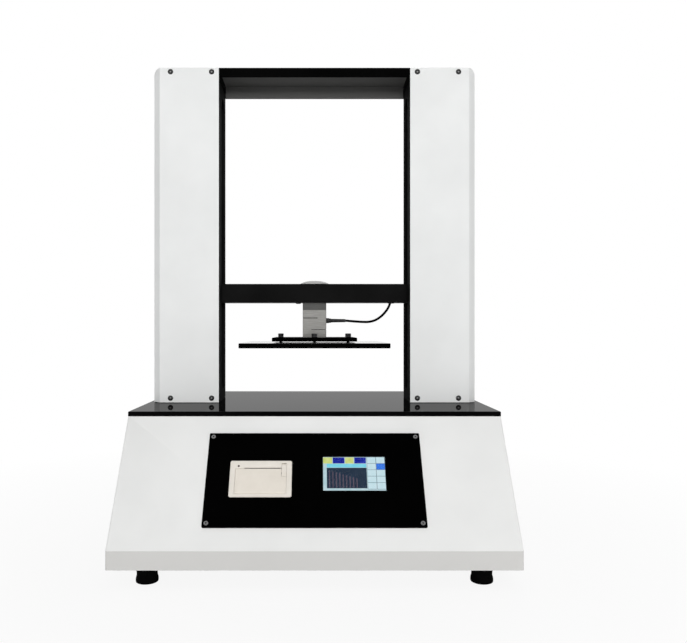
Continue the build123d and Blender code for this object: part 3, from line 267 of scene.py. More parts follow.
beam_paint, beam_shader = painted("beam_coat_and_inside_painted_light", grey(0.001), grey(0.002), 0.5, 900.0, 0.1, 0.01)
channel_reach = 171.3 * mm
channel_front, channel_back = 12.6 * mm, 102.0 * mm
channel_foot, channel_roof = 800.0 * mm, 839.0 * mm
inside_length = between(beam_paint, "X", -channel_reach, channel_reach)
inside_depth = between(beam_paint, "Y", channel_front, channel_back)
inside_height = between(beam_paint, "Z", channel_foot, channel_roof)
inside_painted_light_share = joined(
    beam_paint, "MULTIPLY", joined(beam_paint, "MULTIPLY", inside_length, inside_depth), inside_height
)
inside_painted_light_mix = beam_paint.node_tree.nodes.new("ShaderNodeMix")
inside_painted_light_mix.data_type = "RGBA"
# This grey is painted light on the shadowed inside of the channel.
inside_painted_light_mix.inputs["B"].default_value = (0.125, 0.125, 0.122, 1.0)
for start, end in (
    (inside_painted_light_share, inside_painted_light_mix.inputs["Factor"]),
    (beam_shader.inputs["Base Color"].links[0].from_socket, inside_painted_light_mix.inputs["A"]),
    (inside_painted_light_mix.outputs["Result"], beam_shader.inputs["Base Color"]),
):
    beam_paint.node_tree.links.new(start, end)

# %% [markdown]
# Seen nearly edge on, the platen's top mirrors the pale room, while its edge is dull black. A clear coat
# whose weight follows the height gives both.

# %% Lacquer the top of the platen
platen_coat_foot, platen_coat_full = 345.9 * mm, 346.4 * mm
platen_top_only = band_along(platen_black, "Z", platen_coat_foot, platen_coat_full)
platen_black.node_tree.links.new(platen_top_only.outputs["Result"], platen_shader.inputs["Coat Weight"])
platen_shader.inputs["Coat Roughness"].default_value = 0.08

# %% [markdown]
# The deck is black too, under a clear lacquer that mirrors the covers and the room. Only the top is
# lacquered: its cut edge stays dull, so the coat's weight follows the height.

# %% Mix the deck's lacquer
deck_black, deck_shader = start_finish("deck_gloss_black", 0.6)
tint(deck_black, deck_shader, object_noise(deck_black, 5.0), grey(0.002), grey(0.004))
gloss_range(deck_black, deck_shader, object_noise(deck_black, 30.0), 0.56, 0.66)
deck_coat_foot, deck_coat_full = 237.4 * mm, 237.9 * mm
deck_coat_weight = 0.34
deck_lacquer = band_along(deck_black, "Z", deck_coat_foot, deck_coat_full)
deck_lacquer.inputs["To Max"].default_value = deck_coat_weight
deck_black.node_tree.links.new(deck_lacquer.outputs["Result"], deck_shader.inputs["Coat Weight"])
deck_shader.inputs["Specular IOR Level"].default_value = 0.0
deck_shader.inputs["Coat Roughness"].default_value = 0.03

# %% Mix the plastics and rubbers
def moulded(name, dark, pale, roughness, texture_scale, relief):
    """Moulded plastic or rubber with a sparked texture."""
    finish, shader = start_finish(name, roughness)
    tint(finish, shader, object_noise(finish, 40.0), dark, pale)
    grain(finish, shader, object_noise(finish, texture_scale, 2.0), relief, 0.0001)
    if pale[0] < 0.03:
        shader.inputs["Specular IOR Level"].default_value = 0.03
    return finish


printer_white = moulded("printer_white", (0.80, 0.755, 0.685), (0.85, 0.805, 0.735), 0.45, 2500.0, 0.15)
printer_beige = moulded("printer_beige", (0.80, 0.745, 0.665), (0.85, 0.795, 0.715), 0.5, 2500.0, 0.2)
cap_ivory = moulded("cap_ivory", (0.45, 0.45, 0.44), (0.50, 0.50, 0.49), 0.3, 1500.0, 0.05)
black_plastic = moulded("black_plastic", (0.006, 0.006, 0.006), (0.012, 0.012, 0.012), 0.5, 1800.0, 0.3)
foot_rubber = moulded("foot_rubber", (0.0008, 0.0008, 0.0008), (0.002, 0.002, 0.002), 0.75, 900.0, 0.4)
belt_rubber = moulded("belt_rubber", (0.014, 0.014, 0.014), (0.024, 0.024, 0.024), 0.7, 1200.0, 0.3)
cable_black = moulded("cable_black", (0.001, 0.001, 0.001), (0.003, 0.003, 0.003), 0.6, 2500.0, 0.1)
thermal_paper = moulded("thermal_paper", (0.82, 0.82, 0.80), (0.87, 0.87, 0.85), 0.7, 3000.0, 0.2)
lamp_red = moulded("lamp_dark_red", (0.02, 0.006, 0.006), (0.04, 0.01, 0.01), 0.2, 900.0, 0.02)

# %% [markdown]
# ## Metals
#
# A machined surface shows fine lines in the direction the tool ran. Stretching the noise along one axis
# gives those lines, and the same noise moves the roughness, so the lines glint and not only darken.

# %% Mix the metals
def machined(name, dark, pale, roughness, stretch, relief=0.15):
    """Metal with fine tool lines along the axis whose stretch is small."""
    finish, shader = start_finish(name, roughness, 1.0)
    lines = object_noise(finish, 1400.0, 2.0, stretch)
    tint(finish, shader, lines, dark, pale, 0.3, 0.7)
    grain(finish, shader, lines, relief, 0.00005)
    gloss_range(finish, shader, lines, roughness * 0.8, roughness * 1.2)
    return finish


cell_metal = machined("cell_metal", (0.30, 0.295, 0.28), (0.41, 0.403, 0.385), 0.40, (0.03, 1, 1))
adapter_metal = machined("adapter_metal", (0.107, 0.107, 0.104), (0.14, 0.14, 0.136), 0.4, (0.03, 1, 1))
screw_metal = machined("screw_metal", (0.45, 0.45, 0.45), (0.62, 0.62, 0.61), 0.3, (1, 1, 1), 0.05)
dark_steel = machined("dark_steel", (0.035, 0.035, 0.037), (0.07, 0.07, 0.073), 0.42, (1, 1, 1), 0.08)
rod_chrome = machined("rod_chrome", (0.66, 0.66, 0.67), (0.74, 0.74, 0.75), 0.1, (1, 1, 0.05), 0.02)
turned_steel = machined("turned_steel", (0.40, 0.40, 0.41), (0.56, 0.56, 0.57), 0.28, (0.05, 0.05, 1))
turned_bronze = machined("turned_bronze", (0.42, 0.27, 0.10), (0.58, 0.40, 0.17), 0.32, (0.05, 0.05, 1))
milled_aluminium = machined("milled_aluminium", (0.58, 0.58, 0.59), (0.72, 0.72, 0.73), 0.35, (0.04, 1, 1))
brass_pin = machined("brass_pin", (0.55, 0.40, 0.14), (0.66, 0.50, 0.2), 0.25, (1, 1, 1), 0.03)

screw_dark = machined("screw_dark", (0.045, 0.045, 0.045), (0.08, 0.08, 0.08), 0.34, (1, 1, 1), 0.05)
# A pale grey for the cover screws' sockets: a painted reflection.
socket_painted_glint = machined("socket_painted_glint", (0.34, 0.34, 0.34), (0.46, 0.46, 0.46), 0.34, (1, 1, 1), 0.05)
screw_grey = machined("screw_grey", (0.20, 0.20, 0.20), (0.30, 0.30, 0.30), 0.36, (1, 1, 1), 0.05)
bolt_steel = machined("bolt_steel", (0.03, 0.03, 0.031), (0.07, 0.07, 0.072), 0.3, (1, 1, 1), 0.05)
gland_black = moulded("gland_black", (0.006, 0.006, 0.006), (0.012, 0.012, 0.012), 0.3, 1500.0, 0.05)
gland_black.node_tree.nodes["Principled BSDF"].inputs["Specular IOR Level"].default_value = 0.5
cable_black.node_tree.nodes["Principled BSDF"].inputs["Specular IOR Level"].default_value = 0.0
socket_black = moulded("socket_black", (0.004, 0.004, 0.004), (0.008, 0.008, 0.008), 0.6, 2000.0, 0.1)

# %% Give every CAD node its finish
cable_curve.materials.append(cable_black)
finish_of = {
    "base_housing": housing_coat_painted_light_and_shade,
    "rear_panel": white_paint,
    "column_cover_left": white_paint,
    "column_cover_right": white_paint,
    "base_pan": black_paint,
    "column_channel_left": channel_black,
    "column_channel_right": channel_black,
    "top_beam": beam_paint,
    "crosshead": black_paint,
    "flange_plate": panel_black,
    "upper_platen": platen_black,
    "lower_crossbeam": black_paint,
    "frame_side_plates": black_paint,
    "motor_bracket": black_paint,
    "upper_bearing_blocks": black_paint,
    "deck_plate": deck_black,
    "control_panel": panel_black,
    "rubber_feet": foot_rubber,
    "screw_belt": belt_rubber,
    "motor_belt": belt_rubber,
    "cable_gland": cable_black,
    "cable_grommet": cable_black,
    "load_cell_cable": cable_black,
    "control_panel_screws": screw_metal,
    "column_cover_screws": screw_metal,
    "rear_panel_screws": screw_metal,
    "lead_screw_left": turned_steel,
    "lead_screw_right": turned_steel,
    "screw_bearings": turned_steel,
    "motor_shaft": turned_steel,
    "load_cell_bolts": dark_steel,
    "printer_pins": turned_steel,
    "load_cell": cell_metal,
    "load_cell_adapter": adapter_metal,
    "levelling_bolts": dark_steel,
    "levelling_lock_nuts": dark_steel,
    "crosshead_screw": dark_steel,
    "guide_rods": rod_chrome,
    "screw_nuts": turned_bronze,
    "guide_bushes": turned_bronze,
    "screw_pulley_left": milled_aluminium,
    "screw_pulley_right": milled_aluminium,
    "motor_pulley": milled_aluminium,
    "lower_bearing_housings": milled_aluminium,
    "power_supply": milled_aluminium,
    "motor_drive": milled_aluminium,
    "drive_motor": black_paint,
    "crosshead_cap": cap_ivory,
    "printer_frame": printer_white,
    "printer_door": printer_beige,
    "printer_latch": printer_white,
    "print_head": black_plastic,
    "power_inlet": black_plastic,
    "power_rocker": black_plastic,
    "touch_screen_module": black_plastic,
    "printer_roller": belt_rubber,
    "printer_status_lamp": lamp_red,
    "paper_roll": thermal_paper,
    "data_port": screw_metal,
}
for node, finish in finish_of.items():
    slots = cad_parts[node].data.materials
    for index in range(len(slots)):
        slots[index] = finish
    if not len(slots):
        slots.append(finish)
print("finished nodes:", len(finish_of), "left:", sorted(set(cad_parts) - set(finish_of)))

# %% [markdown]
# ## The touch screen's glass
#
# Glass in front of a lit picture: a clear sheet with a dark cast. Transmission with no roughness keeps
# the picture sharp.

# %% Mix the screen glass
screen_glass, glass_shader = start_finish("screen_glass", 0.04)
glass_shader.inputs["Base Color"].default_value = (0.95, 0.97, 1.0, 1.0)
glass_shader.inputs["Transmission Weight"].default_value = 1.0
glass_shader.inputs["IOR"].default_value = 1.1
grain(screen_glass, glass_shader, object_noise(screen_glass, 60.0, 1.0), 0.01, 0.0001)
glass_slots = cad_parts["touch_screen_glass"].data.materials
for index in range(len(glass_slots)):
    glass_slots[index] = screen_glass

# %% [markdown]
# ## Rounded edges on the sheet and plate pieces
#
# The CAD pieces have sharp edges. A real folded sheet or milled plate breaks the light along a narrow
# rounded edge. A weld joins the triangles first, then a small bevel rounds only what is sharper than
# 30 degrees.

# %% Soften the CAD edges
softness = {
    0.8: ["top_beam", "crosshead", "upper_platen", "flange_plate", "load_cell", "load_cell_adapter"],
    0.5: ["deck_plate", "column_cover_left", "column_cover_right", "control_panel", "printer_frame"],
    0.4: ["base_housing", "printer_door", "printer_latch", "power_inlet", "power_rocker"],
    0.3: ["column_channel_left", "column_channel_right", "print_head", "data_port", "base_pan"],
    1.0: ["power_supply", "motor_drive", "drive_motor", "motor_bracket", "frame_side_plates"],
    1.2: ["lower_crossbeam", "upper_bearing_blocks"],
}
for width, names in softness.items():
    for name in names:
        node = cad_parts[name]
        weld = node.modifiers.new("join", "WELD")
        weld.merge_threshold = 0.00001
        edge = node.modifiers.new("soft_edges", "BEVEL")
        edge.width = width * mm
        edge.segments = 2
        edge.limit_method = "ANGLE"
        edge.angle_limit = math.radians(40)
        edge.use_clamp_overlap = True
print("softened:", sum(len(names) for names in softness.values()))

# %% [markdown]
# ## Helpers for new pieces
#
# Fasteners, feet, threads and the cap are turned or milled shapes. A turned shape is a short profile
# of radius and height that bmesh spins once round. A hexagon is a cylinder of six sides. Each finished
# piece stays at the origin with its place in the mesh, and rides on the body of the node it stands for.

# %% Turn, mill and place pieces
def along(place, forward):
    """The matrix that stands a shape's Z along a direction, at a place in millimetres."""
    turn = Vector(forward).to_track_quat("Z", "Y").to_matrix().to_4x4()
    return Matrix.Translation(Vector(place) * mm) @ turn


def turned(shape, profile, stand, steps=40):
    """Spins a closed profile of (radius, height) pairs, in millimetres, once round the Z of stand."""
    ring = [shape.verts.new((r * mm, 0, h * mm)) for r, h in profile]
    edges = [shape.edges.new(pair) for pair in zip(ring, ring[1:])]
    made = bmesh.ops.spin(
        shape, geom=ring + edges, cent=(0, 0, 0), axis=(0, 0, 1), angle=math.tau, steps=steps, use_merge=True
    )
    corners = set(ring)
    corners.update(v for v in made["geom_last"] if isinstance(v, bmesh.types.BMVert))
    reach, pending = set(corners), list(corners)
    while pending:
        for edge in pending.pop().link_edges:
            for corner in edge.verts:
                if corner not in reach:
                    reach.add(corner)
                    pending.append(corner)
    bmesh.ops.remove_doubles(shape, verts=list(reach), dist=0.000002)
    reach = [v for v in reach if v.is_valid]
    bmesh.ops.transform(shape, matrix=stand, verts=reach)
    return reach


def hexagon(shape, across_flats, low, high, stand, break_edge=0.3, turn=0.0):
    """A six-sided nut or head with broken edges, from height low to high along the Z of stand."""
    corner = across_flats / 2 / math.cos(math.radians(30))
    made = bmesh.ops.create_cone(
        shape, cap_ends=True, segments=6, radius1=corner * mm, radius2=corner * mm, depth=(high - low) * mm
    )
    spot = Matrix.Translation((0, 0, (low + high) / 2 * mm)) @ Matrix.Rotation(turn, 4, "Z")
    bmesh.ops.transform(shape, matrix=stand @ spot, verts=made["verts"])
    edges = list({edge for corner in made["verts"] for edge in corner.link_edges})
    bmesh.ops.bevel(
        shape, geom=edges, offset=break_edge * mm, segments=2, profile=0.5, affect="EDGES", material=-1
    )


def rounded_block(shape, low, high, round_by, stand=Matrix.Identity(4), segments=2):
    """A block between two corners in millimetres, with rounded edges, placed by stand."""
    made = bmesh.ops.create_cube(shape, size=1.0)
    size = [b - a for a, b in zip(low, high)]
    middle = [(a + b) / 2 for a, b in zip(low, high)]
    bmesh.ops.scale(shape, vec=Vector(size) * mm, verts=made["verts"])
    bmesh.ops.translate(shape, vec=Vector(middle) * mm, verts=made["verts"])
    bmesh.ops.transform(shape, matrix=stand, verts=made["verts"])
    edges = list({edge for corner in made["verts"] for edge in corner.link_edges})
    bmesh.ops.bevel(
        shape, geom=edges, offset=round_by * mm, segments=segments, profile=0.5, affect="EDGES", material=-1
    )


def finished(shape, name, finish, body, *nodes, smooth_under=35):
    """Makes the object, shades it smooth below an angle, and lets it ride and stand for its nodes."""
    bmesh.ops.recalc_face_normals(shape, faces=shape.faces)
    mesh = bpy.data.meshes.new(name)
    shape.to_mesh(mesh)
    shape.free()
    mesh.materials.append(finish)
    mesh.shade_smooth()
    mesh.set_sharp_from_angle(angle=math.radians(smooth_under))
    piece = bpy.data.objects.new(name, mesh)
    bpy.context.scene.collection.objects.link(piece)
    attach(piece, body)
    if nodes:
        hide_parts(*nodes)
    print(name, len(mesh.polygons), "faces")
    return piece


base, head = "frame_and_base", "crosshead_assembly"
load_y = 71.0
up = (0, 0, 1)

# %% [markdown]
# ## Rubber feet
#
# Each foot is turned: a rounded sole, a waist above it and a shoulder under the pan.

# %% Turn the feet
foot_profile = [
    (0, 0.6), (12.5, 0.6), (13.2, 0.0), (15.2, 0.0), (16.1, 0.5), (16.5, 1.6), (16.5, 5.0), (16.2, 7.0),
    (15.4, 9.4), (15.1, 12.0), (15.3, 15.0), (15.9, 18.0), (16.7, 20.6), (17.0, 21.6), (17.0, 23.0),
    (0, 23.0),
]
feet = bmesh.new()
for foot_x in (-246.0, 246.0):
    for foot_y in (-220.5, 220.5):
        turned(feet, foot_profile, along((foot_x, foot_y, 0), up), 48)
finished(feet, "turned_feet", foot_rubber, base, "rubber_feet")

# %% [markdown]
# ## Button-head screws
#
# A button head is low and round, with a hexagon socket. The socket's walls are hard to spin, so the head is
# turned with a round recess, and a hexagon sits at its floor: dark in the panel and rear screws, pale in the
# cover screws, where the pale is a painted reflection.

# %% Turn the screws of the covers, panels and crosshead
def button_screw(shape, place, forward, radius, height, shank, length):
    """A button head with a recess, on a shank that goes back from the face."""
    profile = [
        (0, height * 0.35), (radius * 0.36, height * 0.35), (radius * 0.40, height * 0.45),
        (radius * 0.40, height * 0.92), (radius * 0.47, height), (radius * 0.62, height * 0.96),
        (radius * 0.80, height * 0.78), (radius * 0.94, height * 0.42), (radius, height * 0.12),
        (radius, 0), (shank, 0), (shank, -length), (0, -length),
    ]
    turned(shape, profile, along(place, forward), 28)


def socket_hexagon(shape, place, forward, radius, height):
    """The hexagon that shows at the floor of a screw's recess."""
    hexagon(shape, radius * 0.62, height * 0.2, height * 0.44, along(place, forward), radius * 0.02)


cover_front = 9.0
cover_screws = bmesh.new()
cover_socket_glints = bmesh.new()
for screw_x in (-259.2, -185.2, 185.2, 259.2):
    for screw_z in (246.7, 834.1):
        place = (screw_x, cover_front, screw_z)
        button_screw(cover_screws, place, (0, -1, 0), 4.9, 2.8, 2.4, 8.5)
        socket_hexagon(cover_socket_glints, place, (0, -1, 0), 4.9, 2.8)
finished(cover_screws, "cover_screws", screw_dark, base, "column_cover_screws")
# The pale hexagons are a painted reflection in the cover screws' sockets.
finished(cover_socket_glints, "cover_screw_socket_glints", socket_painted_glint, base)

slope_up = Vector((0, 123.6, 177.6)).normalized()
slope_out = Vector((0, -177.6, 123.6)).normalized()


def on_slope(x, rise, out):
    """A place in millimetres on the sloped front: across, up the slope and out of it."""
    return Vector((x, -248.5, 52.8)) + slope_up * rise + slope_out * out


panel_screws = bmesh.new()
panel_sockets = bmesh.new()
for screw_x in (-158.6, 158.6):
    for rise in (39.8, 178.6):
        place = on_slope(screw_x, rise, 3.0)
        button_screw(panel_screws, place, slope_out, 3.6, 1.8, 1.9, 2.8)
        socket_hexagon(panel_sockets, place, slope_out, 3.6, 1.8)
finished(panel_screws, "panel_screws", screw_grey, base, "control_panel_screws")
finished(panel_sockets, "panel_screw_sockets", socket_black, base)

rear_face = 245.5
rear_screws = bmesh.new()
rear_sockets = bmesh.new()
for screw_x in (-292.0, 0.0, 292.0):
    for screw_z in (33.0, 222.4):
        place = (screw_x, rear_face, screw_z)
        button_screw(rear_screws, place, (0, 1, 0), 3.0, 1.8, 1.4, 1.9)
        socket_hexagon(rear_sockets, place, (0, 1, 0), 3.0, 1.8)
finished(rear_screws, "rear_screws", screw_dark, base, "rear_panel_screws")
finished(rear_sockets, "rear_screw_sockets", socket_black, base)

# %% [markdown]
# ## The crosshead's cap
#
# A shallow dome over the bolt that carries the load cell, with a rounded rim and a fine step.

# %% Turn the cap
cap_profile = [
    (0, 0), (25.9, 0), (26.5, 0.5), (26.5, 1.5), (26.1, 2.1), (25.0, 2.5), (22.0, 3.9), (18.0, 5.2),
    (13.0, 6.2), (8.0, 6.75), (4.0, 6.95), (0, 7.0),
]
cap = bmesh.new()
turned(cap, cap_profile, along((0, load_y, 454.8), up), 64)
finished(cap, "domed_cap", cap_ivory, head, "crosshead_cap", smooth_under=50)

# %% [markdown]
# ## Levelling bolts
#
# Four hexagon bolts level the platen under its flange: a lock nut on the flange and a head on the
# nut. The thread shows in the gap between flange and platen, so it is turned with its crests.

# %% Mill the levelling bolts and nuts
flange_top = 355.5
bolt_spots = [(-63.5, 0), (63.5, 0), (0, -63.5), (0, 63.5)]
bolts = bmesh.new()
nuts = bmesh.new()
thread = [(0, 340.2), (2.5, 340.2)]
for turn in range(15):
    thread += [(2.5, 340.4 + turn), (3.0, 340.75 + turn), (3.0, 341.0 + turn), (2.5, 341.35 + turn)]
thread += [(2.9, 355.6), (2.9, 358.9), (0, 358.9)]
for number, (bolt_x, bolt_y) in enumerate(bolt_spots):
    stand = along((bolt_x, load_y + bolt_y, 0), up)
    turned(bolts, thread, stand, 20)
    hexagon(bolts, 10.0, 358.9, 362.7, stand, 0.5, math.radians(11 + 17 * number))
    turned(bolts, [(0, 362.6), (4.3, 362.6), (4.0, 362.95), (0, 362.95)], stand, 24)
    hexagon(nuts, 10.0, flange_top, 358.9, stand, 0.5, math.radians(4 + 23 * number))
finished(bolts, "hexagon_bolts", bolt_steel, head, "levelling_bolts")
finished(nuts, "hexagon_lock_nuts", bolt_steel, head, "levelling_lock_nuts")

# %% [markdown]
# ## Load cell details
#
# The two cuts of the S-type cell are filled with dark strips, a little below the surface: painted shade that
# stands for the shadow inside the cuts. The cable gland is a hexagon with a finely ribbed bend sleeve, a
# little thinner at its end.

# %% Fill the cuts and turn the gland
cut_shade_strips = bmesh.new()
# Dark strips in the cuts: painted shade for the shadow inside them.
rounded_block(cut_shade_strips, (-5.9, 59.0, 369.65), (21.4, 83.0, 370.75), 0.12)
rounded_block(cut_shade_strips, (-21.4, 59.0, 391.25), (5.9, 83.0, 392.35), 0.12)
finished(cut_shade_strips, "cell_cut_painted_shade", black_plastic, head)

gland = bmesh.new()
stand = along((22.0, load_y, 387.0), (1, 0, 0))
hexagon(gland, 8.4, 0.0, 5.6, stand, 0.4)
sleeve = [(0, 5.2), (3.9, 5.2), (4.1, 5.6), (4.1, 9.0), (3.6, 9.6)]
for rib in range(12):
    start = 9.9 + 2.2 * rib
    radius = 3.5 - 0.04 * rib
    groove = radius - 0.3
    sleeve += [(groove, start), (groove, start + 0.4), (radius, start + 0.6), (radius, start + 2.0)]
sleeve += [(2.7, 36.4), (0, 36.6)]
turned(gland, sleeve, stand, 28)
finished(gland, "gland_and_sleeve", gland_black, head, "cable_gland")

# %% [markdown]
# ## Lead screws
#
# Each lead screw is a core with a two-start thread. A spin with a shift along its axis draws one start:
# the profile climbs a whole lead in every turn. The second start is the same, half a turn on.

# %% Cut the threads
lead, thread_steps, thread_turns = 10.0, 24, 57


def one_turn(start):
    """One turn of one start, as a mesh: a ridge that climbs a whole lead."""
    turn = bmesh.new()
    ridge = ((8.0, -1.6), (8.0, 1.6), (10.0, 0.9), (10.0, -0.9))
    ring = [turn.verts.new((r * mm, 0, h * mm)) for r, h in ridge]
    edges = [turn.edges.new((ring[n - 1], ring[n])) for n in range(4)]
    climb = (0, 0, lead / thread_steps * mm)
    bmesh.ops.spin(
        turn, geom=ring + edges, cent=(0, 0, 0), axis=(0, 0, 1), dvec=climb, angle=math.tau,
        steps=thread_steps,
    )
    lead_angle = Matrix.Rotation(math.tau * start, 3, "Z")
    bmesh.ops.rotate(turn, cent=(0, 0, 0), matrix=lead_angle, verts=turn.verts)
    mesh = bpy.data.meshes.new("one_turn")
    turn.to_mesh(mesh)
    turn.free()
    return mesh


def threaded_rod(side):
    """A lead screw from its lower journal to the upper bearing."""
    rod = bmesh.new()
    ridges = set()
    for start in (0.0, 0.5):
        mesh = one_turn(start)
        for number in range(thread_turns):
            known = len(rod.verts)
            rod.from_mesh(mesh)
            rod.verts.ensure_lookup_table()
            fresh = rod.verts[known:]
            bmesh.ops.translate(rod, vec=(0, 0, (210.0 + lead * number) * mm), verts=fresh)
            ridges.update(fresh)
    bmesh.ops.remove_doubles(rod, verts=list(ridges), dist=0.00001)
    bmesh.ops.holes_fill(rod, edges=[e for e in rod.edges if e.is_boundary], sides=4)
    core = [
        (0, 140.3), (7.1, 140.3), (7.5, 140.7), (7.5, 195.2), (9.6, 195.6), (9.6, 207.0), (8.4, 208.0),
        (8.4, 786.0), (9.6, 787.0), (9.6, 794.8), (7.5, 795.2), (7.5, 808.8), (7.1, 809.2), (0, 809.2),
    ]
    turned(rod, core, Matrix.Identity(4), 32)
    bmesh.ops.transform(rod, matrix=along((204.0 * side, load_y, 0), up), verts=rod.verts)
    return rod


finished(threaded_rod(-1), "left_threaded_rod", turned_steel, "left_screw", "lead_screw_left")
finished(threaded_rod(1), "right_threaded_rod", turned_steel, "right_screw", "lead_screw_right")

# %% [markdown]
# ## The touch screen's picture
#
# The screen shows a chart with tabs above and two columns of keys. Each field is a thin lit tile on the
# display module, under the glass. There is no lettering: the fields stay bare.

# %% Lay the lit fields
def lit(name, dark, pale, strength=0.85):
    """A field of the display: it glows, and a little noise keeps it from looking printed."""
    finish, shader = start_finish(name, 0.5)
    tint(finish, shader, object_noise(finish, 120.0), dark, pale, socket="Emission Color")
    shader.inputs["Base Color"].default_value = (0.002, 0.002, 0.002, 1.0)
    shader.inputs["Specular IOR Level"].default_value = 0.01
    shader.inputs["Emission Strength"].default_value = strength
    return finish


screen_x, screen_rise = 60.6, 118.0
screen_stand = Matrix.Translation(on_slope(screen_x, screen_rise, 0.9) * mm) @ Matrix.Rotation(
    math.atan2(177.6, 123.6), 4, "X"
)


def field(name, finish, places, lift=0.0):
    """Thin tiles (left, low, right, high) in millimetres from the screen's centre."""
    tiles = bmesh.new()
    for left, low, right, high in places:
        rounded_block(tiles, (left, low, lift), (right, high, lift + 0.1), 0.03, screen_stand, 1)
    finished(tiles, name, finish, base)


ground = lit("field_ground", (0.50, 0.70, 0.74), (0.62, 0.78, 0.82))
key_pale = lit("field_keys", (0.64, 0.87, 0.91), (0.72, 0.91, 0.95))
line_grey = lit("field_lines", (0.20, 0.31, 0.36), (0.28, 0.38, 0.42))
key_blue = lit("field_blue_key", (0.04, 0.20, 0.85), (0.07, 0.26, 0.92))
tab_blue = lit("field_blue_tabs", (0.006, 0.012, 0.28), (0.03, 0.05, 0.48))
tab_yellow = lit("field_yellow_tabs", (0.66, 0.74, 0.16), (0.78, 0.84, 0.34))
band_cyan = lit("field_cyan_band", (0.20, 0.74, 0.88), (0.26, 0.80, 0.94))
chart_navy = lit("field_chart", (0.018, 0.033, 0.060), (0.028, 0.048, 0.080))
chart_bars = lit("field_bars", (0.10, 0.075, 0.11), (0.15, 0.11, 0.15))

field("screen_ground", ground, [(-47.4, -27.0, 47.4, 27.0)])
field("screen_lines", line_grey, [(20.0, -25.4, 47.4, 26.6)], 0.12)
field("screen_tabs_yellow", tab_yellow, [(-47.2, 16.4, -33.4, 26.4), (-13.2, 16.4, -0.4, 26.4)], 0.12)
field("screen_tabs_blue", tab_blue, [(-32.4, 16.4, -14.4, 26.4), (0.8, 16.4, 18.6, 26.4)], 0.12)
field("screen_band", band_cyan, [(-41.8, 9.8, 18.9, 15.6)], 0.12)
field("screen_chart", chart_navy, [(-41.8, -23.8, 19.2, 9.2)], 0.12)
bar_places = [(-38.5 + 5.2 * n, -23.0, -36.9 + 5.2 * n, 5.0 - 1.6 * n) for n in range(9)]
field("screen_bars", chart_bars, bar_places, 0.24)
key_rows = [26.4 - 10.4 * row for row in range(5)]
pale_keys = [(20.5, high - 9.6, 33.4, high) for high in key_rows]
pale_keys += [(34.4, high - 9.6, 47.2, high) for row, high in enumerate(key_rows) if row != 1]
field("screen_keys", key_pale, pale_keys, 0.24)
field("screen_blue_key", key_blue, [(34.4, key_rows[1] - 9.6, 47.2, key_rows[1])], 0.24)

glass = bmesh.new()
rounded_block(glass, (-48.1, -27.8, 0.5), (48.1, 27.8, 1.9), 0.3, screen_stand)
finished(glass, "screen_glass_sheet", screen_glass, base, "touch_screen_glass")

# %% [markdown]
# ## Small pieces of the rear
#
# The inlet has three flat pins in its socket, and the data port nine round ones.

# %% Set the pins
pins = bmesh.new()
for pin_x, pin_z in ((-222.0, 97.0), (-208.0, 97.0), (-215.0, 101.5)):
    rounded_block(pins, (pin_x - 1.0, 226.2, pin_z - 2.0), (pin_x + 1.0, 242.0, pin_z + 2.0), 0.4)
finished(pins, "inlet_pins", brass_pin, base)

port_pins = bmesh.new()
for pin in range(9):
    pin_x = -150.0 + (2.8 * (pin - 2) if pin < 5 else 2.8 * (pin - 6.5))
    pin_z = 111.4 if pin < 5 else 108.6
    profile = [(0, 0), (0.42, 0), (0.42, 3.0), (0.2, 3.4), (0, 3.4)]
    turned(port_pins, profile, along((pin_x, 243.4, pin_z), (0, 1, 0)), 10)
finished(port_pins, "port_pins", brass_pin, base)

# %% [markdown]
# ## Light and floor
#
# A plain pale floor and large soft lamps. The world is a pale grey for the light it gives, and white
# where the camera, a polished metal or the glass looks straight at it. The floor keeps the shadow. The
# lamps give light but don't show in mirror reflections, where their squares would lie on the deck.

# %% Set the world
world = bpy.data.worlds.new("studio")
bpy.context.scene.world = world
world.use_nodes = True
sky = world.node_tree.nodes
sky_links = world.node_tree.links
sky.clear()
soft_sky = sky.new("ShaderNodeBackground")
soft_sky.inputs["Color"].default_value = (1.0, 1.0, 1.0, 1.0)
soft_sky.inputs["Strength"].default_value = 0.15
white_sky = sky.new("ShaderNodeBackground")
white_sky.inputs["Color"].default_value = (1.0, 1.0, 1.0, 1.0)
white_sky.inputs["Strength"].default_value = 1.0
rays = sky.new("ShaderNodeLightPath")
seen_or_glossy = sky.new("ShaderNodeMath")
seen_or_glossy.operation = "MAXIMUM"
seen_at_all = sky.new("ShaderNodeMath")
seen_at_all.operation = "MAXIMUM"
sky_mix = sky.new("ShaderNodeMixShader")
sky_out = sky.new("ShaderNodeOutputWorld")
sky_links.new(rays.outputs["Is Camera Ray"], seen_or_glossy.inputs[0])
sky_links.new(rays.outputs["Is Glossy Ray"], seen_or_glossy.inputs[1])
sky_links.new(seen_or_glossy.outputs[0], seen_at_all.inputs[0])
sky_links.new(rays.outputs["Is Transmission Ray"], seen_at_all.inputs[1])
sky_links.new(seen_at_all.outputs[0], sky_mix.inputs["Fac"])
sky_links.new(soft_sky.outputs[0], sky_mix.inputs[1])
sky_links.new(white_sky.outputs[0], sky_mix.inputs[2])
sky_links.new(sky_mix.outputs[0], sky_out.inputs["Surface"])

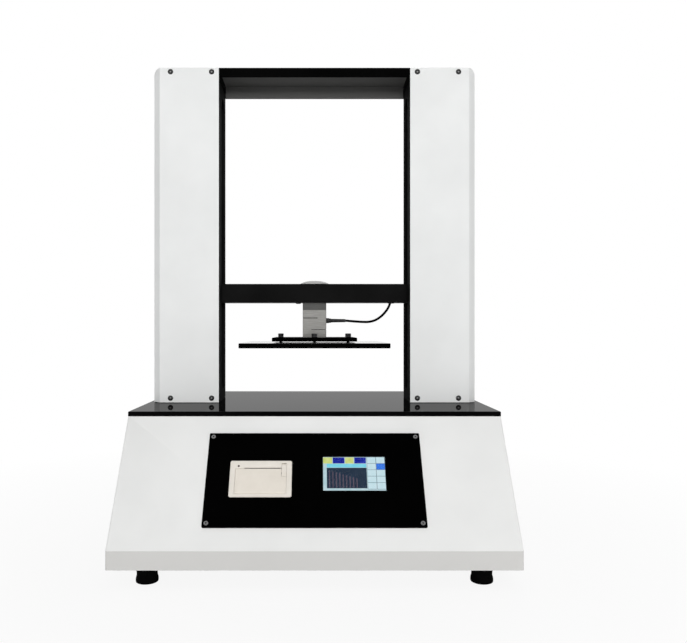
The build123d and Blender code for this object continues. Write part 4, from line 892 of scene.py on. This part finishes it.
# %% Lay the floor
floor_mesh = bpy.data.meshes.new("floor")
sheet = bmesh.new()
bmesh.ops.create_grid(sheet, x_segments=1, y_segments=1, size=8.0)
sheet.to_mesh(floor_mesh)
sheet.free()
floor = bpy.data.objects.new("floor", floor_mesh)
bpy.context.scene.collection.objects.link(floor)
floor_finish = bpy.data.materials.new("floor_white")
floor_finish.use_nodes = True
floor_nodes, floor_links = floor_finish.node_tree.nodes, floor_finish.node_tree.links
floor_shader = floor_nodes["Principled BSDF"]
floor_shader.inputs["Base Color"].default_value = (0.95, 0.95, 0.95, 1.0)
floor_shader.inputs["Roughness"].default_value = 0.9
floor_glow = floor_nodes.new("ShaderNodeEmission")
floor_rays = floor_nodes.new("ShaderNodeLightPath")
floor_share = floor_nodes.new("ShaderNodeMath")
floor_share.operation = "MULTIPLY"
floor_place = floor_nodes.new("ShaderNodeTexCoord")
floor_reach = floor_nodes.new("ShaderNodeVectorMath")
floor_reach.operation = "LENGTH"
floor_fade = floor_nodes.new("ShaderNodeMapRange")
floor_fade.inputs["From Min"].default_value = 0.35
floor_fade.inputs["From Max"].default_value = 1.1
floor_fade.inputs["To Min"].default_value = 0.9
floor_links.new(floor_place.outputs["Object"], floor_reach.inputs[0])
floor_links.new(floor_reach.outputs["Value"], floor_fade.inputs["Value"])
floor_links.new(floor_fade.outputs["Result"], floor_share.inputs[1])
floor_mix = floor_nodes.new("ShaderNodeMixShader")
floor_links.new(floor_rays.outputs["Is Camera Ray"], floor_share.inputs[0])
floor_links.new(floor_share.outputs[0], floor_mix.inputs["Fac"])
floor_links.new(floor_shader.outputs[0], floor_mix.inputs[1])
floor_links.new(floor_glow.outputs[0], floor_mix.inputs[2])
floor_links.new(floor_mix.outputs[0], floor_nodes["Material Output"].inputs["Surface"])
floor_mesh.materials.append(floor_finish)

# %% Hang the lamps
def soft_lamp(name, place, aim, size, watts):
    """A large square area lamp that looks at a point."""
    lamp_data = bpy.data.lights.new(name, "AREA")
    lamp_data.shape = "SQUARE"
    lamp_data.size = size
    lamp_data.energy = watts
    lamp = bpy.data.objects.new(name, lamp_data)
    lamp.location = place
    lamp.rotation_euler = (Vector(aim) - Vector(place)).to_track_quat("-Z", "Y").to_euler()
    lamp.visible_glossy = False
    bpy.context.scene.collection.objects.link(lamp)
    return lamp


middle = (0.0, 0.0, 0.4)
soft_lamp("front_lamp", (0.12, -4.8, 1.1), middle, 1.4, 157.0)
soft_lamp("top_lamp", (0.0, 0.2, 3.0), middle, 1.8, 8.0)
soft_lamp("back_lamp", (0.9, 3.2, 1.9), middle, 1.8, 40.0)
soft_lamp("left_lamp", (-3.4, 2.2, 1.6), middle, 1.8, 13.0)
soft_lamp("right_lamp", (3.4, 2.2, 1.6), middle, 1.8, 16.0)

# %% Close the scene
bpy.context.scene.view_settings.view_transform = "Standard"
